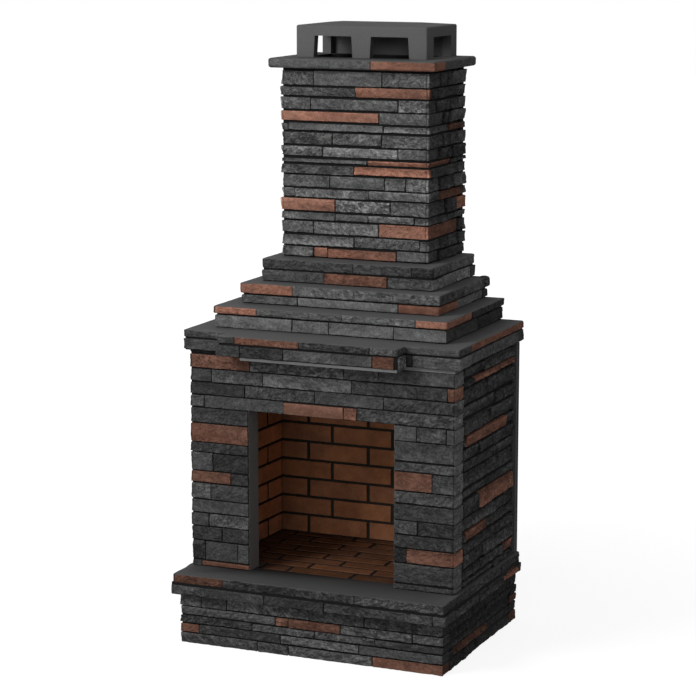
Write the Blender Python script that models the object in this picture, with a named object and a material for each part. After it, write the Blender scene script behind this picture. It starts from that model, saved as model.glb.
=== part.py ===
"""Outdoor fireplace stacked from precast concrete blocks faced with split stone.

From the ground up: a base of four panels, a hearth slab, a firebox body with an
open front, a mantel slab, three stepped hood blocks, a chimney in two blocks, a
crown slab and a cap with windows. Lengths are in metres, +Z is up, -Y is the open
front and +X is the right-hand side as seen from the front. The origin lies on the
ground, in the middle of the whole fireplace's footprint.
"""
import math
import random

import bmesh
import bpy
from mathutils import Matrix, Vector

# Heights of the tiers, from the ground up
base_height = 0.184
hearth_height = 0.075
body_height = 0.782
mantel_height = 0.081
hood_lower_height = 0.078
hood_middle_height = 0.074
hood_upper_height = 0.082
chimney_lower_height = 0.360
chimney_upper_height = 0.314
crown_height = 0.038
cap_height = 0.115

# Plan of the chimney, and how far each tier below it stands out from the one above
chimney_width = 0.560
chimney_depth = 0.329
hood_upper_side_step = 0.047
hood_upper_front_step = 0.085
hood_middle_side_step = 0.055
hood_middle_front_step = 0.071
hood_lower_side_step = 0.062
hood_lower_front_step = 0.090
mantel_side_step = 0.077
mantel_front_step = 0.081
hearth_front_margin = 0.137
hearth_side_margin = 0.020

# How far the body stands in under the mantel slab, and the base under the hearth slab
body_side_setback = 0.020
body_front_setback = 0.013
base_side_setback = 0.021
base_front_setback = 0.038

# Crown slab over the chimney, and the cap on it
crown_side_overhang = 0.037
crown_front_overhang = 0.048
crown_rear_overhang = 0.025
cap_side_setback = 0.066
cap_front_setback = 0.094
cap_rear_setback = 0.015

# Panels, walls and the room inside
base_panel_thickness = 0.060
facade_thickness = 0.080
side_panel_thickness = 0.040
rear_panel_thickness = 0.035
opening_width = 0.556
lintel_height = 0.199
back_lining_thickness = 0.038
side_lining_thickness = 0.025
side_lining_gap = 0.003
firebox_splay = 0.024
floor_thickness = 0.030
floor_margin = 0.002
threshold_margin = 0.012
threshold_depth = 0.074
threshold_setback = 0.054
hood_seat_width = 0.055
hood_rear_wall = 0.075
flue_wall = 0.060
cap_wall = 0.033
cap_lid = 0.028
crown_ledge = 0.004

# Split-stone facing: depth of its joints, their width, and how far stones stand back
facing_relief = 0.010
facing_joint = 0.004
stone_spread = 0.006
slab_stone_spread = 0.002
facing_bite = 0.003
return_short = 0.060
return_long = 0.130

# Slab edges: a smooth lip above one course of stone
hearth_lip = 0.033
hearth_lip_inset = 0.008
mantel_lip = 0.026
hood_lower_lip = 0.027
hood_middle_lip = 0.037
hood_upper_lip = 0.036
hood_course_inset = 0.005
lip_round = 0.006
crown_round = 0.008

# Mantel shelf, which stands out of the mantel slab's front
mantel_left_margin = 0.164
mantel_right_margin = 0.199
mantel_reach = 0.068
mantel_band = 0.008
mantel_band_inset = 0.006

# Firebrick
brick_length = 0.244
brick_joint = 0.008
brick_relief = 0.004
wall_course_count = 11
floor_row_count = 7
back_bond_shares = (0.44, 0.83)
side_bond_shares = (0.53, 1.02)

# Cap windows, which are open at the bottom, and the piers that part them
window_head = 0.003
window_taper = 0.006
middle_pier = 0.063
corner_pier = 0.0665
side_pier = 0.061
cap_rise = 0.008
cap_rise_share = 0.5
cap_round = 0.010

bed_gap = 0.0003
overrun = 0.020
round_profile_share = 0.5

# Stones in each course where the layout is free, and how far their joints may wander
rear_stone_count = 3
side_stone_count = 2
base_rear_stone_count = 4
joint_wander_share = 0.25

# Each course from the top down: its share of the height, and where its upright joints
# lie as shares of the width from the left
lintel_shares = (
    (0.27, (0.23, 0.59, 0.72)),
    (0.25, (0.08, 0.28, 0.62, 0.95)),
    (0.24, (0.21, 0.48, 0.74)),
    (0.24, (0.05, 0.36, 0.59)),
)
left_jamb_shares = (
    (0.055, ()), (0.071, ()), (0.036, ()), (0.069, (0.37,)), (0.044, (0.69,)), (0.060, (0.33,)),
    (0.050, ()), (0.050, (0.29,)), (0.053, (0.52,)), (0.073, (0.22,)), (0.023, (0.15,)),
)
right_jamb_shares = (
    (0.055, (0.38,)), (0.071, ()), (0.036, ()), (0.069, (0.64,)), (0.044, ()), (0.060, ()),
    (0.050, (0.40,)), (0.050, ()), (0.053, (0.22,)), (0.073, ()), (0.023, ()),
)
side_course_shares = (
    0.057, 0.035, 0.080, 0.064, 0.062, 0.055, 0.068, 0.050,
    0.078, 0.041, 0.087, 0.052, 0.052, 0.048, 0.062, 0.109,
)
base_shares = (
    (0.048, (0.18, 0.50, 0.71)), (0.034, (0.37, 0.62, 0.89)), (0.029, (0.28, 0.52, 0.75)),
    (0.035, (0.07, 0.39, 0.69)), (0.038, (0.30, 0.42, 0.74)),
)
hearth_shares = ((1.0, (0.13, 0.35, 0.57)),)
mantel_shares = ((1.0, ()),)
shelf_split_shares = (0.13, 0.38, 0.88)
hood_lower_shares = ((1.0, (0.34, 0.50, 0.78)),)
hood_middle_shares = ((1.0, (0.29, 0.80)),)
hood_upper_shares = ((1.0, (0.37, 0.74)),)
chimney_upper_shares = (
    (0.057, (0.21, 0.68)), (0.040, (0.50,)), (0.047, (0.19, 0.79)), (0.045, (0.66,)),
    (0.031, (0.07, 0.69)), (0.051, (0.34, 0.68)), (0.043, (0.27, 0.79)),
)
chimney_lower_shares = (
    (0.021, (0.58,)), (0.040, (0.49,)), (0.048, (0.32, 0.70)), (0.035, (0.09, 0.59)), (0.052, (0.36, 0.74)),
    (0.029, (0.36, 0.59)), (0.051, (0.21, 0.66)), (0.043, (0.49, 0.90)), (0.041, (0.31, 0.78)),
)


# Plans are (left, right, front, rear)

def inset(plan, side, front, rear=0.0):
    """The plan drawn in by a side, a front and a rear distance."""
    return plan[0] + side, plan[1] - side, plan[2] + front, plan[3] - rear


def box(plan, bottom, top):
    """A plan between two heights, as its lowest and highest corners."""
    return Vector((plan[0], plan[2], bottom)), Vector((plan[1], plan[3], top))


def stepped_out(plan, side, front):
    """The plan widened by a side and a front step."""
    return inset(plan, -side, -front)


front_run = (hood_upper_front_step + hood_middle_front_step + hood_lower_front_step + mantel_front_step
             - body_front_setback + hearth_front_margin)
hearth_depth = chimney_depth + front_run
back_plane = (hearth_depth - crown_rear_overhang) / 2
chimney_plan = (-chimney_width / 2, chimney_width / 2, back_plane - chimney_depth, back_plane)
hood_upper_plan = stepped_out(chimney_plan, hood_upper_side_step, hood_upper_front_step)
hood_middle_plan = stepped_out(hood_upper_plan, hood_middle_side_step, hood_middle_front_step)
hood_lower_plan = stepped_out(hood_middle_plan, hood_lower_side_step, hood_lower_front_step)
mantel_plan = stepped_out(hood_lower_plan, mantel_side_step, mantel_front_step)
body_plan = inset(mantel_plan, body_side_setback, body_front_setback)
hearth_plan = stepped_out(body_plan, hearth_side_margin, hearth_front_margin)
base_plan = inset(hearth_plan, base_side_setback, base_front_setback)
crown_plan = inset(chimney_plan, -crown_side_overhang, -crown_front_overhang, -crown_rear_overhang)
cap_plan = inset(crown_plan, cap_side_setback, cap_front_setback, cap_rear_setback)

hearth_bottom = base_height
body_bottom = hearth_bottom + hearth_height
mantel_bottom = body_bottom + body_height
hood_lower_bottom = mantel_bottom + mantel_height
hood_middle_bottom = hood_lower_bottom + hood_lower_height
hood_upper_bottom = hood_middle_bottom + hood_middle_height
chimney_lower_bottom = hood_upper_bottom + hood_upper_height
chimney_upper_bottom = chimney_lower_bottom + chimney_lower_height
crown_bottom = chimney_upper_bottom + chimney_upper_height
cap_bottom = crown_bottom + crown_height
cap_top = cap_bottom + cap_height

opening_top = mantel_bottom - lintel_height
facade_back = body_plan[2] + facade_thickness
rear_panel_front = back_plane - rear_panel_thickness
shell_half_width = body_plan[1] - side_panel_thickness
firebox_back = rear_panel_front - bed_gap - back_lining_thickness
firebox_back_half_width = shell_half_width - side_lining_gap - side_lining_thickness - firebox_splay
threshold_front = body_plan[2] + threshold_setback
threshold_back = threshold_front + threshold_depth


# Scene, materials and meshes

def clear_scene():
    for old in list(bpy.data.objects):
        bpy.data.objects.remove(old, do_unlink=True)


def new_collection(name):
    collection = bpy.data.collections.new(name)
    bpy.context.scene.collection.children.link(collection)
    return collection


def material(name, colour, roughness):
    made = bpy.data.materials.new(name)
    made.use_nodes = True
    shader = made.node_tree.nodes["Principled BSDF"]
    shader.inputs["Base Color"].default_value = (*colour, 1.0)
    shader.inputs["Roughness"].default_value = roughness
    shader.inputs["Metallic"].default_value = 0.0
    return made


clear_scene()
parts = new_collection("outdoor_fireplace")
cutters = new_collection("cutters")
colours = {
    "stone": ((0.135, 0.137, 0.140), 0.90),
    "slab": ((0.115, 0.118, 0.120), 0.80),
    "brick": ((0.185, 0.070, 0.040), 0.95),
    "cap": ((0.190, 0.192, 0.192), 0.75),
}


def add_box(mesh, corners):
    """A box between two corners, added to a bmesh; returns its vertices."""
    low, high = corners
    place = Matrix.Translation((low + high) / 2) @ Matrix.Diagonal((*(high - low), 1))
    return bmesh.ops.create_cube(mesh, size=1, matrix=place)["verts"]


def to_object(name, mesh, collection):
    """Turns a bmesh into an object in a collection."""
    data = bpy.data.meshes.new(name)
    mesh.to_mesh(data)
    mesh.free()
    made = bpy.data.objects.new(name, data)
    collection.objects.link(made)
    return made


def boxes_object(name, boxes, collection):
    mesh = bmesh.new()
    for corners in boxes:
        add_box(mesh, corners)
    return to_object(name, mesh, collection)


def rounded_box_object(name, corners, radius, collection):
    """A box whose top edges are rounded."""
    mesh = bmesh.new()
    add_box(mesh, corners)
    top = corners[1].z
    edges = [edge for edge in mesh.edges if min(vert.co.z for vert in edge.verts) > top - radius]
    bmesh.ops.bevel(mesh, geom=edges, offset=radius, segments=2, profile=round_profile_share,
                    affect="EDGES")
    return to_object(name, mesh, collection)


def combine(target, tool, operation):
    """Joins another object to the target or cuts it out, and keeps it as a guide."""
    for old in list(tool.users_collection):
        old.objects.unlink(tool)
    cutters.objects.link(tool)
    tool.hide_render = True
    tool.display_type = "WIRE"
    step = target.modifiers.new(tool.name, "BOOLEAN")
    step.operation = operation
    step.solver = "EXACT"
    step.object = tool


def finish(name, target, finish_name):
    """Gives a sub-part its own material."""
    colour, roughness = colours[finish_name]
    target.data.materials.append(material(name + "_" + finish_name, colour, roughness))


# Split-stone facing

def on_side(plan, side, along, out, heights):
    """A box on one side of a plan: along runs left to right or front to back, out is outward."""
    left, right, front, rear = plan
    if side == "front":
        spots = ((left + along[0], front - out[1]), (left + along[1], front - out[0]))
    elif side == "rear":
        spots = ((left + along[0], rear + out[0]), (left + along[1], rear + out[1]))
    elif side == "right":
        spots = ((right + out[0], front + along[0]), (right + out[1], front + along[1]))
    else:
        spots = ((left - out[1], front + along[0]), (left - out[0], front + along[1]))
    return Vector((*spots[0], heights[0])), Vector((*spots[1], heights[1]))


def row_of_stones(plan, side, span, splits, heights, corners, reach, spread, rng):
    """The stones of one course on one side. Corners says which of the two end stones
    turn the corner; those reach back round it, the others stop inside the core."""
    cuts = (0.0, *splits, 1.0)
    stones = []
    for index, (first, second) in enumerate(zip(cuts, cuts[1:])):
        turns_first = corners[0] and index == 0
        turns_second = corners[1] and index == len(cuts) - 2
        start = span[0] + (span[1] - span[0]) * first
        end = span[0] + (span[1] - span[0]) * second
        start += rng.uniform(0.0, spread) if turns_first else facing_joint / 2
        end -= rng.uniform(0.0, spread) if turns_second else facing_joint / 2
        inner = reach if turns_first or turns_second else facing_relief + facing_bite
        outer = rng.uniform(0.0, spread)
        stones.append(on_side(plan, side, (start, end), (-inner, -outer), heights))
    return stones


def course_heights(bottom, top, shares):
    """Bottom and top of the stones of each course, from the top course down."""
    total = sum(shares)
    edge = top
    for share in shares:
        lower = edge - (top - bottom) * share / total
        yield lower + facing_joint / 2, edge - facing_joint / 2
        edge = lower


def random_split_shares(rng, count):
    """Places of the upright joints that part a course into so many stones."""
    wander = joint_wander_share
    return tuple((index + rng.uniform(-wander, wander)) / count for index in range(1, count))


def faced_panel(name, plan, bottom, top, side, course_shares, corners, thickness, seed):
    """A panel with stone on its outer side, and round the ends that show."""
    rng = random.Random(seed)
    faced = {"left": corners[0] or side == "left", "right": corners[1] or side == "right",
             "front": side == "front", "rear": side == "rear"}
    core = (plan[0] + facing_relief * faced["left"], plan[1] - facing_relief * faced["right"],
            plan[2] + facing_relief * faced["front"], plan[3] - facing_relief * faced["rear"])
    length = plan[3] - plan[2] if side in ("left", "right") else plan[1] - plan[0]
    panel = boxes_object(name, [box(core, bottom, top)], parts)
    stones = []
    heights = course_heights(bottom, top, [share for share, splits in course_shares])
    reach = thickness - facing_joint / 2
    for level, (share, splits) in zip(heights, course_shares):
        stones += row_of_stones(plan, side, (0.0, length), splits, level, corners, reach,
                                stone_spread, rng)
    combine(panel, boxes_object(name + "_stones", stones, cutters), "UNION")
    finish(name, panel, "stone")
    return panel


def ring_stones(plan, bottom, top, course_shares, spread, seed):
    """Stones round all four sides of a block. Front and rear courses turn the corners."""
    rng = random.Random(seed)
    width, depth = plan[1] - plan[0], plan[3] - plan[2]
    both, none = (True, True), (False, False)
    stones = []
    heights = course_heights(bottom, top, [share for share, splits in course_shares])
    for level, (share, splits) in zip(heights, course_shares):
        front_return = rng.uniform(return_short, return_long)
        rear_return = rng.uniform(return_short, return_long)
        rear_splits = random_split_shares(rng, rear_stone_count)
        across = (0.0, width)
        stones += row_of_stones(plan, "front", across, splits, level, both, front_return, spread, rng)
        stones += row_of_stones(plan, "rear", across, rear_splits, level, both, rear_return, spread, rng)
        for side in ("left", "right"):
            side_splits = random_split_shares(rng, side_stone_count)
            span = (front_return, depth - rear_return)
            stones += row_of_stones(plan, side, span, side_splits, level, none, 0.0, spread, rng)
    return stones


def cut_box(target, name, plan, bottom, top):
    """Cuts a box out of a sub-part."""
    combine(target, boxes_object(name, [box(plan, bottom, top)], cutters), "DIFFERENCE")


def faced_block(name, plan, bottom, height, course_shares, hole, seed):
    """A chimney block: stone on four sides round a flue."""
    low, high = bottom + bed_gap, bottom + height
    core_plan = inset(plan, facing_relief, facing_relief, facing_relief)
    block = boxes_object(name, [box(core_plan, low, high)], parts)
    stones = ring_stones(plan, low, high, course_shares, stone_spread, seed)
    combine(block, boxes_object(name + "_stones", stones, cutters), "UNION")
    cut_box(block, name + "_flue", hole, low - overrun, high + overrun)
    finish(name, block, "stone")
    return block


def faced_slab(name, plan, bottom, height, lip, insets, course_shares, hole, seed):
    """A slab with a smooth rounded lip above one course of stone. Insets are those of
    the lip and of the course from the plan."""
    low, high = bottom + bed_gap, bottom + height
    lip_inset, course_inset = insets
    lip_plan = inset(plan, lip_inset, lip_inset)
    course_plan = inset(plan, course_inset, course_inset)
    core_plan = inset(course_plan, facing_relief, facing_relief, facing_relief)
    slab = boxes_object(name, [box(core_plan, low, high - lip + facing_bite)], parts)
    lip_box = box(lip_plan, high - lip, high)
    combine(slab, rounded_box_object(name + "_lip", lip_box, lip_round, cutters), "UNION")
    stones = ring_stones(course_plan, low, high - lip, course_shares, slab_stone_spread, seed)
    combine(slab, boxes_object(name + "_stones", stones, cutters), "UNION")
    if hole:
        cut_box(slab, name + "_hole", hole, low - overrun, high + overrun)
    finish(name, slab, "slab")
    return slab


# Base

def make_base():
    """Four stone-faced panels that carry the hearth slab on their upper edges."""
    left, right, front, rear = base_plan
    thickness = base_panel_thickness
    both = (True, True)
    none = (False, False)
    front_plan = (left, right, front, front + thickness)
    rear_plan = (left, right, rear - thickness, rear)
    left_plan = (left, left + thickness, front + thickness + bed_gap, rear - thickness - bed_gap)
    right_plan = (right - thickness, right, left_plan[2], left_plan[3])
    rng = random.Random(11)
    rows = [share for share, splits in base_shares]
    rear_shares = [(share, random_split_shares(rng, base_rear_stone_count)) for share in rows]
    side_shares = [(share, random_split_shares(rng, side_stone_count)) for share in rows]
    faced_panel("base_front_panel", front_plan, 0.0, base_height, "front", base_shares, both, thickness, 12)
    faced_panel("base_rear_panel", rear_plan, 0.0, base_height, "rear", rear_shares, both, thickness, 13)
    faced_panel("base_left_panel", left_plan, 0.0, base_height, "left", side_shares, none, thickness, 14)
    faced_panel("base_right_panel", right_plan, 0.0, base_height, "right", side_shares, none, thickness, 15)


# Hearth

floor_plan = (-shell_half_width + floor_margin, shell_half_width - floor_margin,
              threshold_back + bed_gap, rear_panel_front - floor_margin)
threshold_width = opening_width - threshold_margin * 2
threshold_plan = (-threshold_width / 2, threshold_width / 2, threshold_front, threshold_back)


def make_hearth():
    """The hearth slab, with pockets that hold the brick floor and its front row."""
    slab = faced_slab("hearth_slab", hearth_plan, hearth_bottom, hearth_height, hearth_lip,
                      (hearth_lip_inset, 0.0), hearth_shares, None, 21)
    top = hearth_bottom + hearth_height
    pocket_floor = top - floor_thickness - bed_gap
    rear_pocket = inset(floor_plan, -bed_gap, -bed_gap, -bed_gap)
    cut_box(slab, "floor_pocket", rear_pocket, pocket_floor, top + overrun)
    front_pocket = inset(threshold_plan, -bed_gap, -bed_gap, -bed_gap)
    cut_box(slab, "threshold_pocket", front_pocket, pocket_floor, top + overrun)


# Firebox body

def make_facade():
    """Two jambs and a lintel, faced in front and on their outer ends."""
    left, right, front, rear = body_plan
    low, high = body_bottom + bed_gap, opening_top
    left_plan = (left, -opening_width / 2, front, facade_back)
    right_plan = (opening_width / 2, right, front, facade_back)
    lintel_plan = (left, right, front, facade_back)
    depth = facade_thickness
    faced_panel("facade_left_jamb", left_plan, low, high, "front", left_jamb_shares,
                (True, False), depth, 31)
    faced_panel("facade_right_jamb", right_plan, low, high, "front", right_jamb_shares,
                (False, True), depth, 32)
    low, high = opening_top + bed_gap, mantel_bottom
    faced_panel("facade_lintel", lintel_plan, low, high, "front", lintel_shares, (True, True), depth, 33)


def make_body_panels():
    """Side and rear panels, which close the body behind the facade."""
    left, right, front, rear = body_plan
    low, high = body_bottom + bed_gap, mantel_bottom
    start, end = facade_back + bed_gap, rear_panel_front - bed_gap
    left_plan = (left, left + side_panel_thickness, start, end)
    right_plan = (right - side_panel_thickness, right, start, end)
    rear_plan = (left, right, rear_panel_front, rear)
    rng = random.Random(41)
    right_shares = [(share, random_split_shares(rng, side_stone_count)) for share in side_course_shares]
    left_shares = [(share, random_split_shares(rng, side_stone_count)) for share in side_course_shares]
    rear_shares = [(share, random_split_shares(rng, rear_stone_count)) for share in side_course_shares]
    none, both = (False, False), (True, True)
    depth = side_panel_thickness
    faced_panel("body_left_panel", left_plan, low, high, "left", left_shares, none, depth, 42)
    faced_panel("body_right_panel", right_plan, low, high, "right", right_shares, none, depth, 43)
    depth = rear_panel_thickness
    faced_panel("body_rear_panel", rear_plan, low, high, "rear", rear_shares, both, depth, 44)


# Firebrick lining

def brick_boxes(length, height, rows, bond_shares):
    """Brick faces on a panel that lies in X and Y with its face at zero height."""
    pitch = height / rows
    bricks = []
    for row in range(rows):
        low = row * pitch + brick_joint / 2
        high = (row + 1) * pitch - brick_joint / 2
        joint = brick_length * bond_shares[row % 2]
        edges = [0.0]
        while joint < length - brick_joint * 2:
            edges.append(joint)
            joint += brick_length
        edges.append(length)
        for start, end in zip(edges, edges[1:]):
            near = Vector((start + brick_joint / 2, low, -brick_relief - facing_bite))
            far = Vector((end - brick_joint / 2, high, 0.0))
            bricks.append((near, far))
    return bricks


def brick_panel(name, length, height, thickness, rows, bond_shares, place):
    """A moulded firebrick panel, put in place by a matrix."""
    core = (Vector((0.0, 0.0, -thickness)), Vector((length, height, -brick_relief)))
    panel = boxes_object(name, [core], parts)
    faces = boxes_object(name + "_bricks", brick_boxes(length, height, rows, bond_shares), cutters)
    for piece in (panel, faces):
        piece.data.transform(place)
        if place.is_negative:
            piece.data.flip_normals()
    combine(panel, faces, "UNION")
    finish(name, panel, "brick")
    return panel


def panel_matrix(origin, along, up, out):
    """Maps a panel's length, height and face direction onto world directions."""
    return Matrix((
        (along[0], up[0], out[0], origin[0]),
        (along[1], up[1], out[1], origin[1]),
        (along[2], up[2], out[2], origin[2]),
        (0.0, 0.0, 0.0, 1.0),
    ))


def make_lining():
    """Brick floor, its front row, and the three lining walls that stand on the floor."""
    low = body_bottom + bed_gap
    wall_height = mantel_bottom - bed_gap - low
    wall_length = firebox_back - bed_gap - (facade_back + bed_gap)
    slope = firebox_splay / wall_length
    x_axis, z_axis = (1.0, 0.0, 0.0), (0.0, 0.0, 1.0)

    back_place = panel_matrix((floor_plan[0], firebox_back, low), x_axis, z_axis, (0.0, -1.0, 0.0))
    back_length = floor_plan[1] - floor_plan[0]
    corner = floor_plan[1] - firebox_back_half_width
    back_bonds = [share + corner / brick_length for share in back_bond_shares]
    brick_panel("firebox_back_wall", back_length, wall_height, back_lining_thickness, wall_course_count,
                back_bonds, back_place)

    for name, sign in (("firebox_left_wall", -1.0), ("firebox_right_wall", 1.0)):
        origin = (sign * firebox_back_half_width, firebox_back - bed_gap, low)
        place = panel_matrix(origin, (sign * slope, -1.0, 0.0), z_axis, (-sign, 0.0, 0.0))
        brick_panel(name, wall_length, wall_height, side_lining_thickness, wall_course_count,
                    side_bond_shares, place)

    floor_top = body_bottom
    floor_place = panel_matrix((floor_plan[0], floor_plan[2], floor_top), x_axis, (0.0, 1.0, 0.0), z_axis)
    brick_panel("firebox_floor", floor_plan[1] - floor_plan[0], floor_plan[3] - floor_plan[2],
                floor_thickness, floor_row_count, back_bond_shares, floor_place)
    threshold_place = panel_matrix((threshold_plan[0], threshold_front, floor_top), x_axis,
                                   (0.0, 1.0, 0.0), z_axis)
    brick_panel("firebox_threshold", threshold_width, threshold_depth, floor_thickness, 1,
                back_bond_shares, threshold_place)


# Mantel slab and hood

def hole_under(upper_plan):
    """The hole in a slab that leaves a bearing for the tier above it."""
    left, right, front, rear = inset(upper_plan, hood_seat_width, hood_seat_width)
    return left, right, front, back_plane - hood_rear_wall


def make_mantel():
    """The mantel slab with its shelf, above a thin smooth band that sits on the body."""
    slab_bottom = mantel_bottom + mantel_band
    slab_height = mantel_height - mantel_band
    hole = hole_under(hood_lower_plan)
    slab = faced_slab("mantel_slab", mantel_plan, slab_bottom, slab_height, mantel_lip, (0.0, 0.0),
                      mantel_shares, None, 51)
    low, high = mantel_bottom + bed_gap, slab_bottom + slab_height
    front = mantel_plan[2] - mantel_reach
    left, right = mantel_plan[0] + mantel_left_margin, mantel_plan[1] - mantel_right_margin
    shelf_plan = (left, right, front, mantel_plan[2] + return_short)
    core_plan = inset(shelf_plan, facing_relief, facing_relief)
    shelf_core = box(core_plan, slab_bottom + bed_gap, high - mantel_lip + facing_bite)
    combine(slab, boxes_object("shelf_core", [shelf_core], cutters), "UNION")
    lip_box = box(shelf_plan, high - mantel_lip, high)
    combine(slab, rounded_box_object("shelf_lip", lip_box, lip_round, cutters), "UNION")
    level = (slab_bottom + bed_gap + facing_joint / 2, high - mantel_lip - facing_joint / 2)
    across = (0.0, right - left)
    reach = mantel_reach + facing_relief
    stones = row_of_stones(shelf_plan, "front", across, shelf_split_shares, level, (True, True), reach,
                           slab_stone_spread, random.Random(52))
    combine(slab, boxes_object("shelf_stones", stones, cutters), "UNION")
    band_top = slab_bottom + facing_bite
    combine(slab, boxes_object("slab_band", [box(body_plan, low, band_top)], cutters), "UNION")
    band_plan = inset(shelf_plan, mantel_band_inset + facing_relief, mantel_band_inset)
    combine(slab, boxes_object("shelf_band", [box(band_plan, low, band_top)], cutters), "UNION")
    cut_box(slab, "mantel_hole", hole, low - overrun, high + overrun)


def make_hood():
    """Three stepped blocks that gather the smoke towards the flue."""
    course_in = (0.0, hood_course_inset)
    faced_slab("hood_lower_block", hood_lower_plan, hood_lower_bottom, hood_lower_height, hood_lower_lip,
               course_in, hood_lower_shares, hole_under(hood_middle_plan), 61)
    faced_slab("hood_middle_block", hood_middle_plan, hood_middle_bottom, hood_middle_height,
               hood_middle_lip, course_in, hood_middle_shares, hole_under(hood_upper_plan), 62)
    faced_slab("hood_upper_block", hood_upper_plan, hood_upper_bottom, hood_upper_height, hood_upper_lip,
               (0.0, 0.0), hood_upper_shares, hole_under(chimney_plan), 63)


# Chimney

def make_chimney():
    """Two stone-faced flue blocks under a crown slab and a cap."""
    flue = inset(chimney_plan, flue_wall, flue_wall, flue_wall)
    faced_block("chimney_lower_block", chimney_plan, chimney_lower_bottom, chimney_lower_height,
                chimney_lower_shares, flue, 71)
    faced_block("chimney_upper_block", chimney_plan, chimney_upper_bottom, chimney_upper_height,
                chimney_upper_shares, flue, 72)

    low, high = crown_bottom + bed_gap, crown_bottom + crown_height
    crown = rounded_box_object("chimney_crown", box(crown_plan, low, high), crown_round, parts)
    mouth = inset(cap_plan, cap_wall + crown_ledge, cap_wall + crown_ledge)
    mouth = (mouth[0], mouth[1], mouth[2], flue[3])
    cut_box(crown, "crown_hole", mouth, low - overrun, high + overrun)
    finish("chimney_crown", crown, "slab")
    make_cap()


def window_cutter(name, place, bottom_width, top_width, height):
    """A window that narrows upwards, as a cutter that runs through a wall."""
    mesh = bmesh.new()
    low = Vector((-bottom_width / 2, -overrun, -overrun))
    high = Vector((bottom_width / 2, cap_wall + overrun, height))
    verts = add_box(mesh, (low, high))
    for vert in verts:
        if vert.co.z > 0.0:
            vert.co.x *= top_width / bottom_width
    mesh.transform(place)
    return to_object(name, mesh, cutters)


def make_cap():
    """The cap: a hollow box with a slightly domed lid and windows on three sides."""
    low, high = cap_bottom + bed_gap, cap_top
    mesh = bmesh.new()
    add_box(mesh, box(cap_plan, low, high - cap_rise))
    edges = [edge for edge in mesh.edges if max(vert.co.z for vert in edge.verts) > low + cap_rise]
    bmesh.ops.bevel(mesh, geom=edges, offset=cap_round, segments=3, profile=round_profile_share,
                    affect="EDGES")
    lid = max(mesh.faces, key=lambda face: face.calc_center_median().z)
    bmesh.ops.inset_region(mesh, faces=[lid], thickness=cap_plan[1] * cap_rise_share)
    bmesh.ops.translate(mesh, verts=lid.verts, vec=(0.0, 0.0, cap_rise))
    cap = to_object("chimney_cap", mesh, parts)
    room = inset(cap_plan, cap_wall, cap_wall, cap_wall)
    cut_box(cap, "cap_room", room, low - overrun, high - cap_rise - cap_lid)
    front, depth = cap_plan[2], cap_plan[3] - cap_plan[2]
    height = cap_height - cap_rise - cap_lid - window_head
    front_width = cap_plan[1] - corner_pier - middle_pier / 2
    side_width = depth - side_pier * 2
    for index, sign in enumerate((-1.0, 1.0)):
        place = Matrix.Translation((sign * (middle_pier + front_width) / 2, front, low))
        narrowed = front_width - window_taper * 2
        front_window = window_cutter("front_window_%d" % index, place, front_width, narrowed, height)
        combine(cap, front_window, "DIFFERENCE")
        turn = Matrix.Rotation(sign * math.pi / 2, 4, "Z")
        place = Matrix.Translation((sign * cap_plan[1], front + depth / 2, low)) @ turn
        side_window = window_cutter("side_window_%d" % index, place, side_width, side_width, height)
        combine(cap, side_window, "DIFFERENCE")
    finish("chimney_cap", cap, "cap")


make_base()
make_hearth()
make_facade()
make_body_panels()
make_lining()
make_mantel()
make_hood()
make_chimney()
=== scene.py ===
"""Looks of an outdoor fireplace of split-stone blocks, dressed over its packed blocks.

Every block gets one piece of modelled masonry: each stone and brick is a rounded,
cleft body of its own on a dark bed of mortar, and the slabs have smooth cast tops
above rough edges. Lengths are in metres in the frame's axes: +Z up, -Y the open
front, +X the right-hand side.
"""
import itertools
import math
import random
from collections import namedtuple

import bpy
import numpy as np
from mathutils import Euler, Matrix, Vector


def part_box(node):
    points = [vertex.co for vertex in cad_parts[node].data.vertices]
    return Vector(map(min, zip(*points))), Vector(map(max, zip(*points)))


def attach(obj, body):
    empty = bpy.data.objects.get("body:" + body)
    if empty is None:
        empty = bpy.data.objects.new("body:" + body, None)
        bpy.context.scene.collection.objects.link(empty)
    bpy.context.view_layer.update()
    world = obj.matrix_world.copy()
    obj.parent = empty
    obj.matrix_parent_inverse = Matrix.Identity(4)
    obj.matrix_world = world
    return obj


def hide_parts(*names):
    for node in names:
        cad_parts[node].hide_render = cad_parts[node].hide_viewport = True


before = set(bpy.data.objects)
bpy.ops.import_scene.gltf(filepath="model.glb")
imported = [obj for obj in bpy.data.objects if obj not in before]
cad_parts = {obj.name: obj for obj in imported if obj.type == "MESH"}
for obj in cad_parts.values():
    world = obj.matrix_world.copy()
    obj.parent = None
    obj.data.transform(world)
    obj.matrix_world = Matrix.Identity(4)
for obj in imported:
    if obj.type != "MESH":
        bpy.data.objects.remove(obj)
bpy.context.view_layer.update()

# Spacing of the modelled grid, and where its lines crowd: inward from a stone's edge,
# and on both sides of a joint in a slab's edge; how many such crowds a side has room
# for before they shrink; how far other lines keep from a joint, as a share of what its
# crowd reaches; and how much finer the lines down a slab's edge are
face_grid = 0.005
edge_lines = (0.0, 0.0009, 0.0024, 0.0056, 0.0088)
lip_crowding = (-0.0045, -0.0018, 0.0, 0.0018, 0.0045)
crowds_per_side, joint_clearance, lip_fineness = 3, 1.5, 1.2

# Stones: rounding, depth, how far in from an edge they are chipped, the range of what
# a corner stone reaches round its corner, how far joints drawn by lot stray in stone
# lengths, and the lean along the row as a share of the lean upwards
stone_round = 0.0020
stone_depth = 0.030
chip_reach = 0.0056
return_short, return_long = 0.060, 0.130
split_wander, lean_along = 0.25, 0.5

# Corners that are cut off, with a painted highlight on the cut and a painted shade line beside it, and
# corners with a groove that is painted darker as its shade
corner_cut, cut_contrast, cut_shade = 0.0068, 2.5, 0.75
corner_groove, groove_width, groove_place = 0.0024, 0.0018, 0.0034

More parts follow.
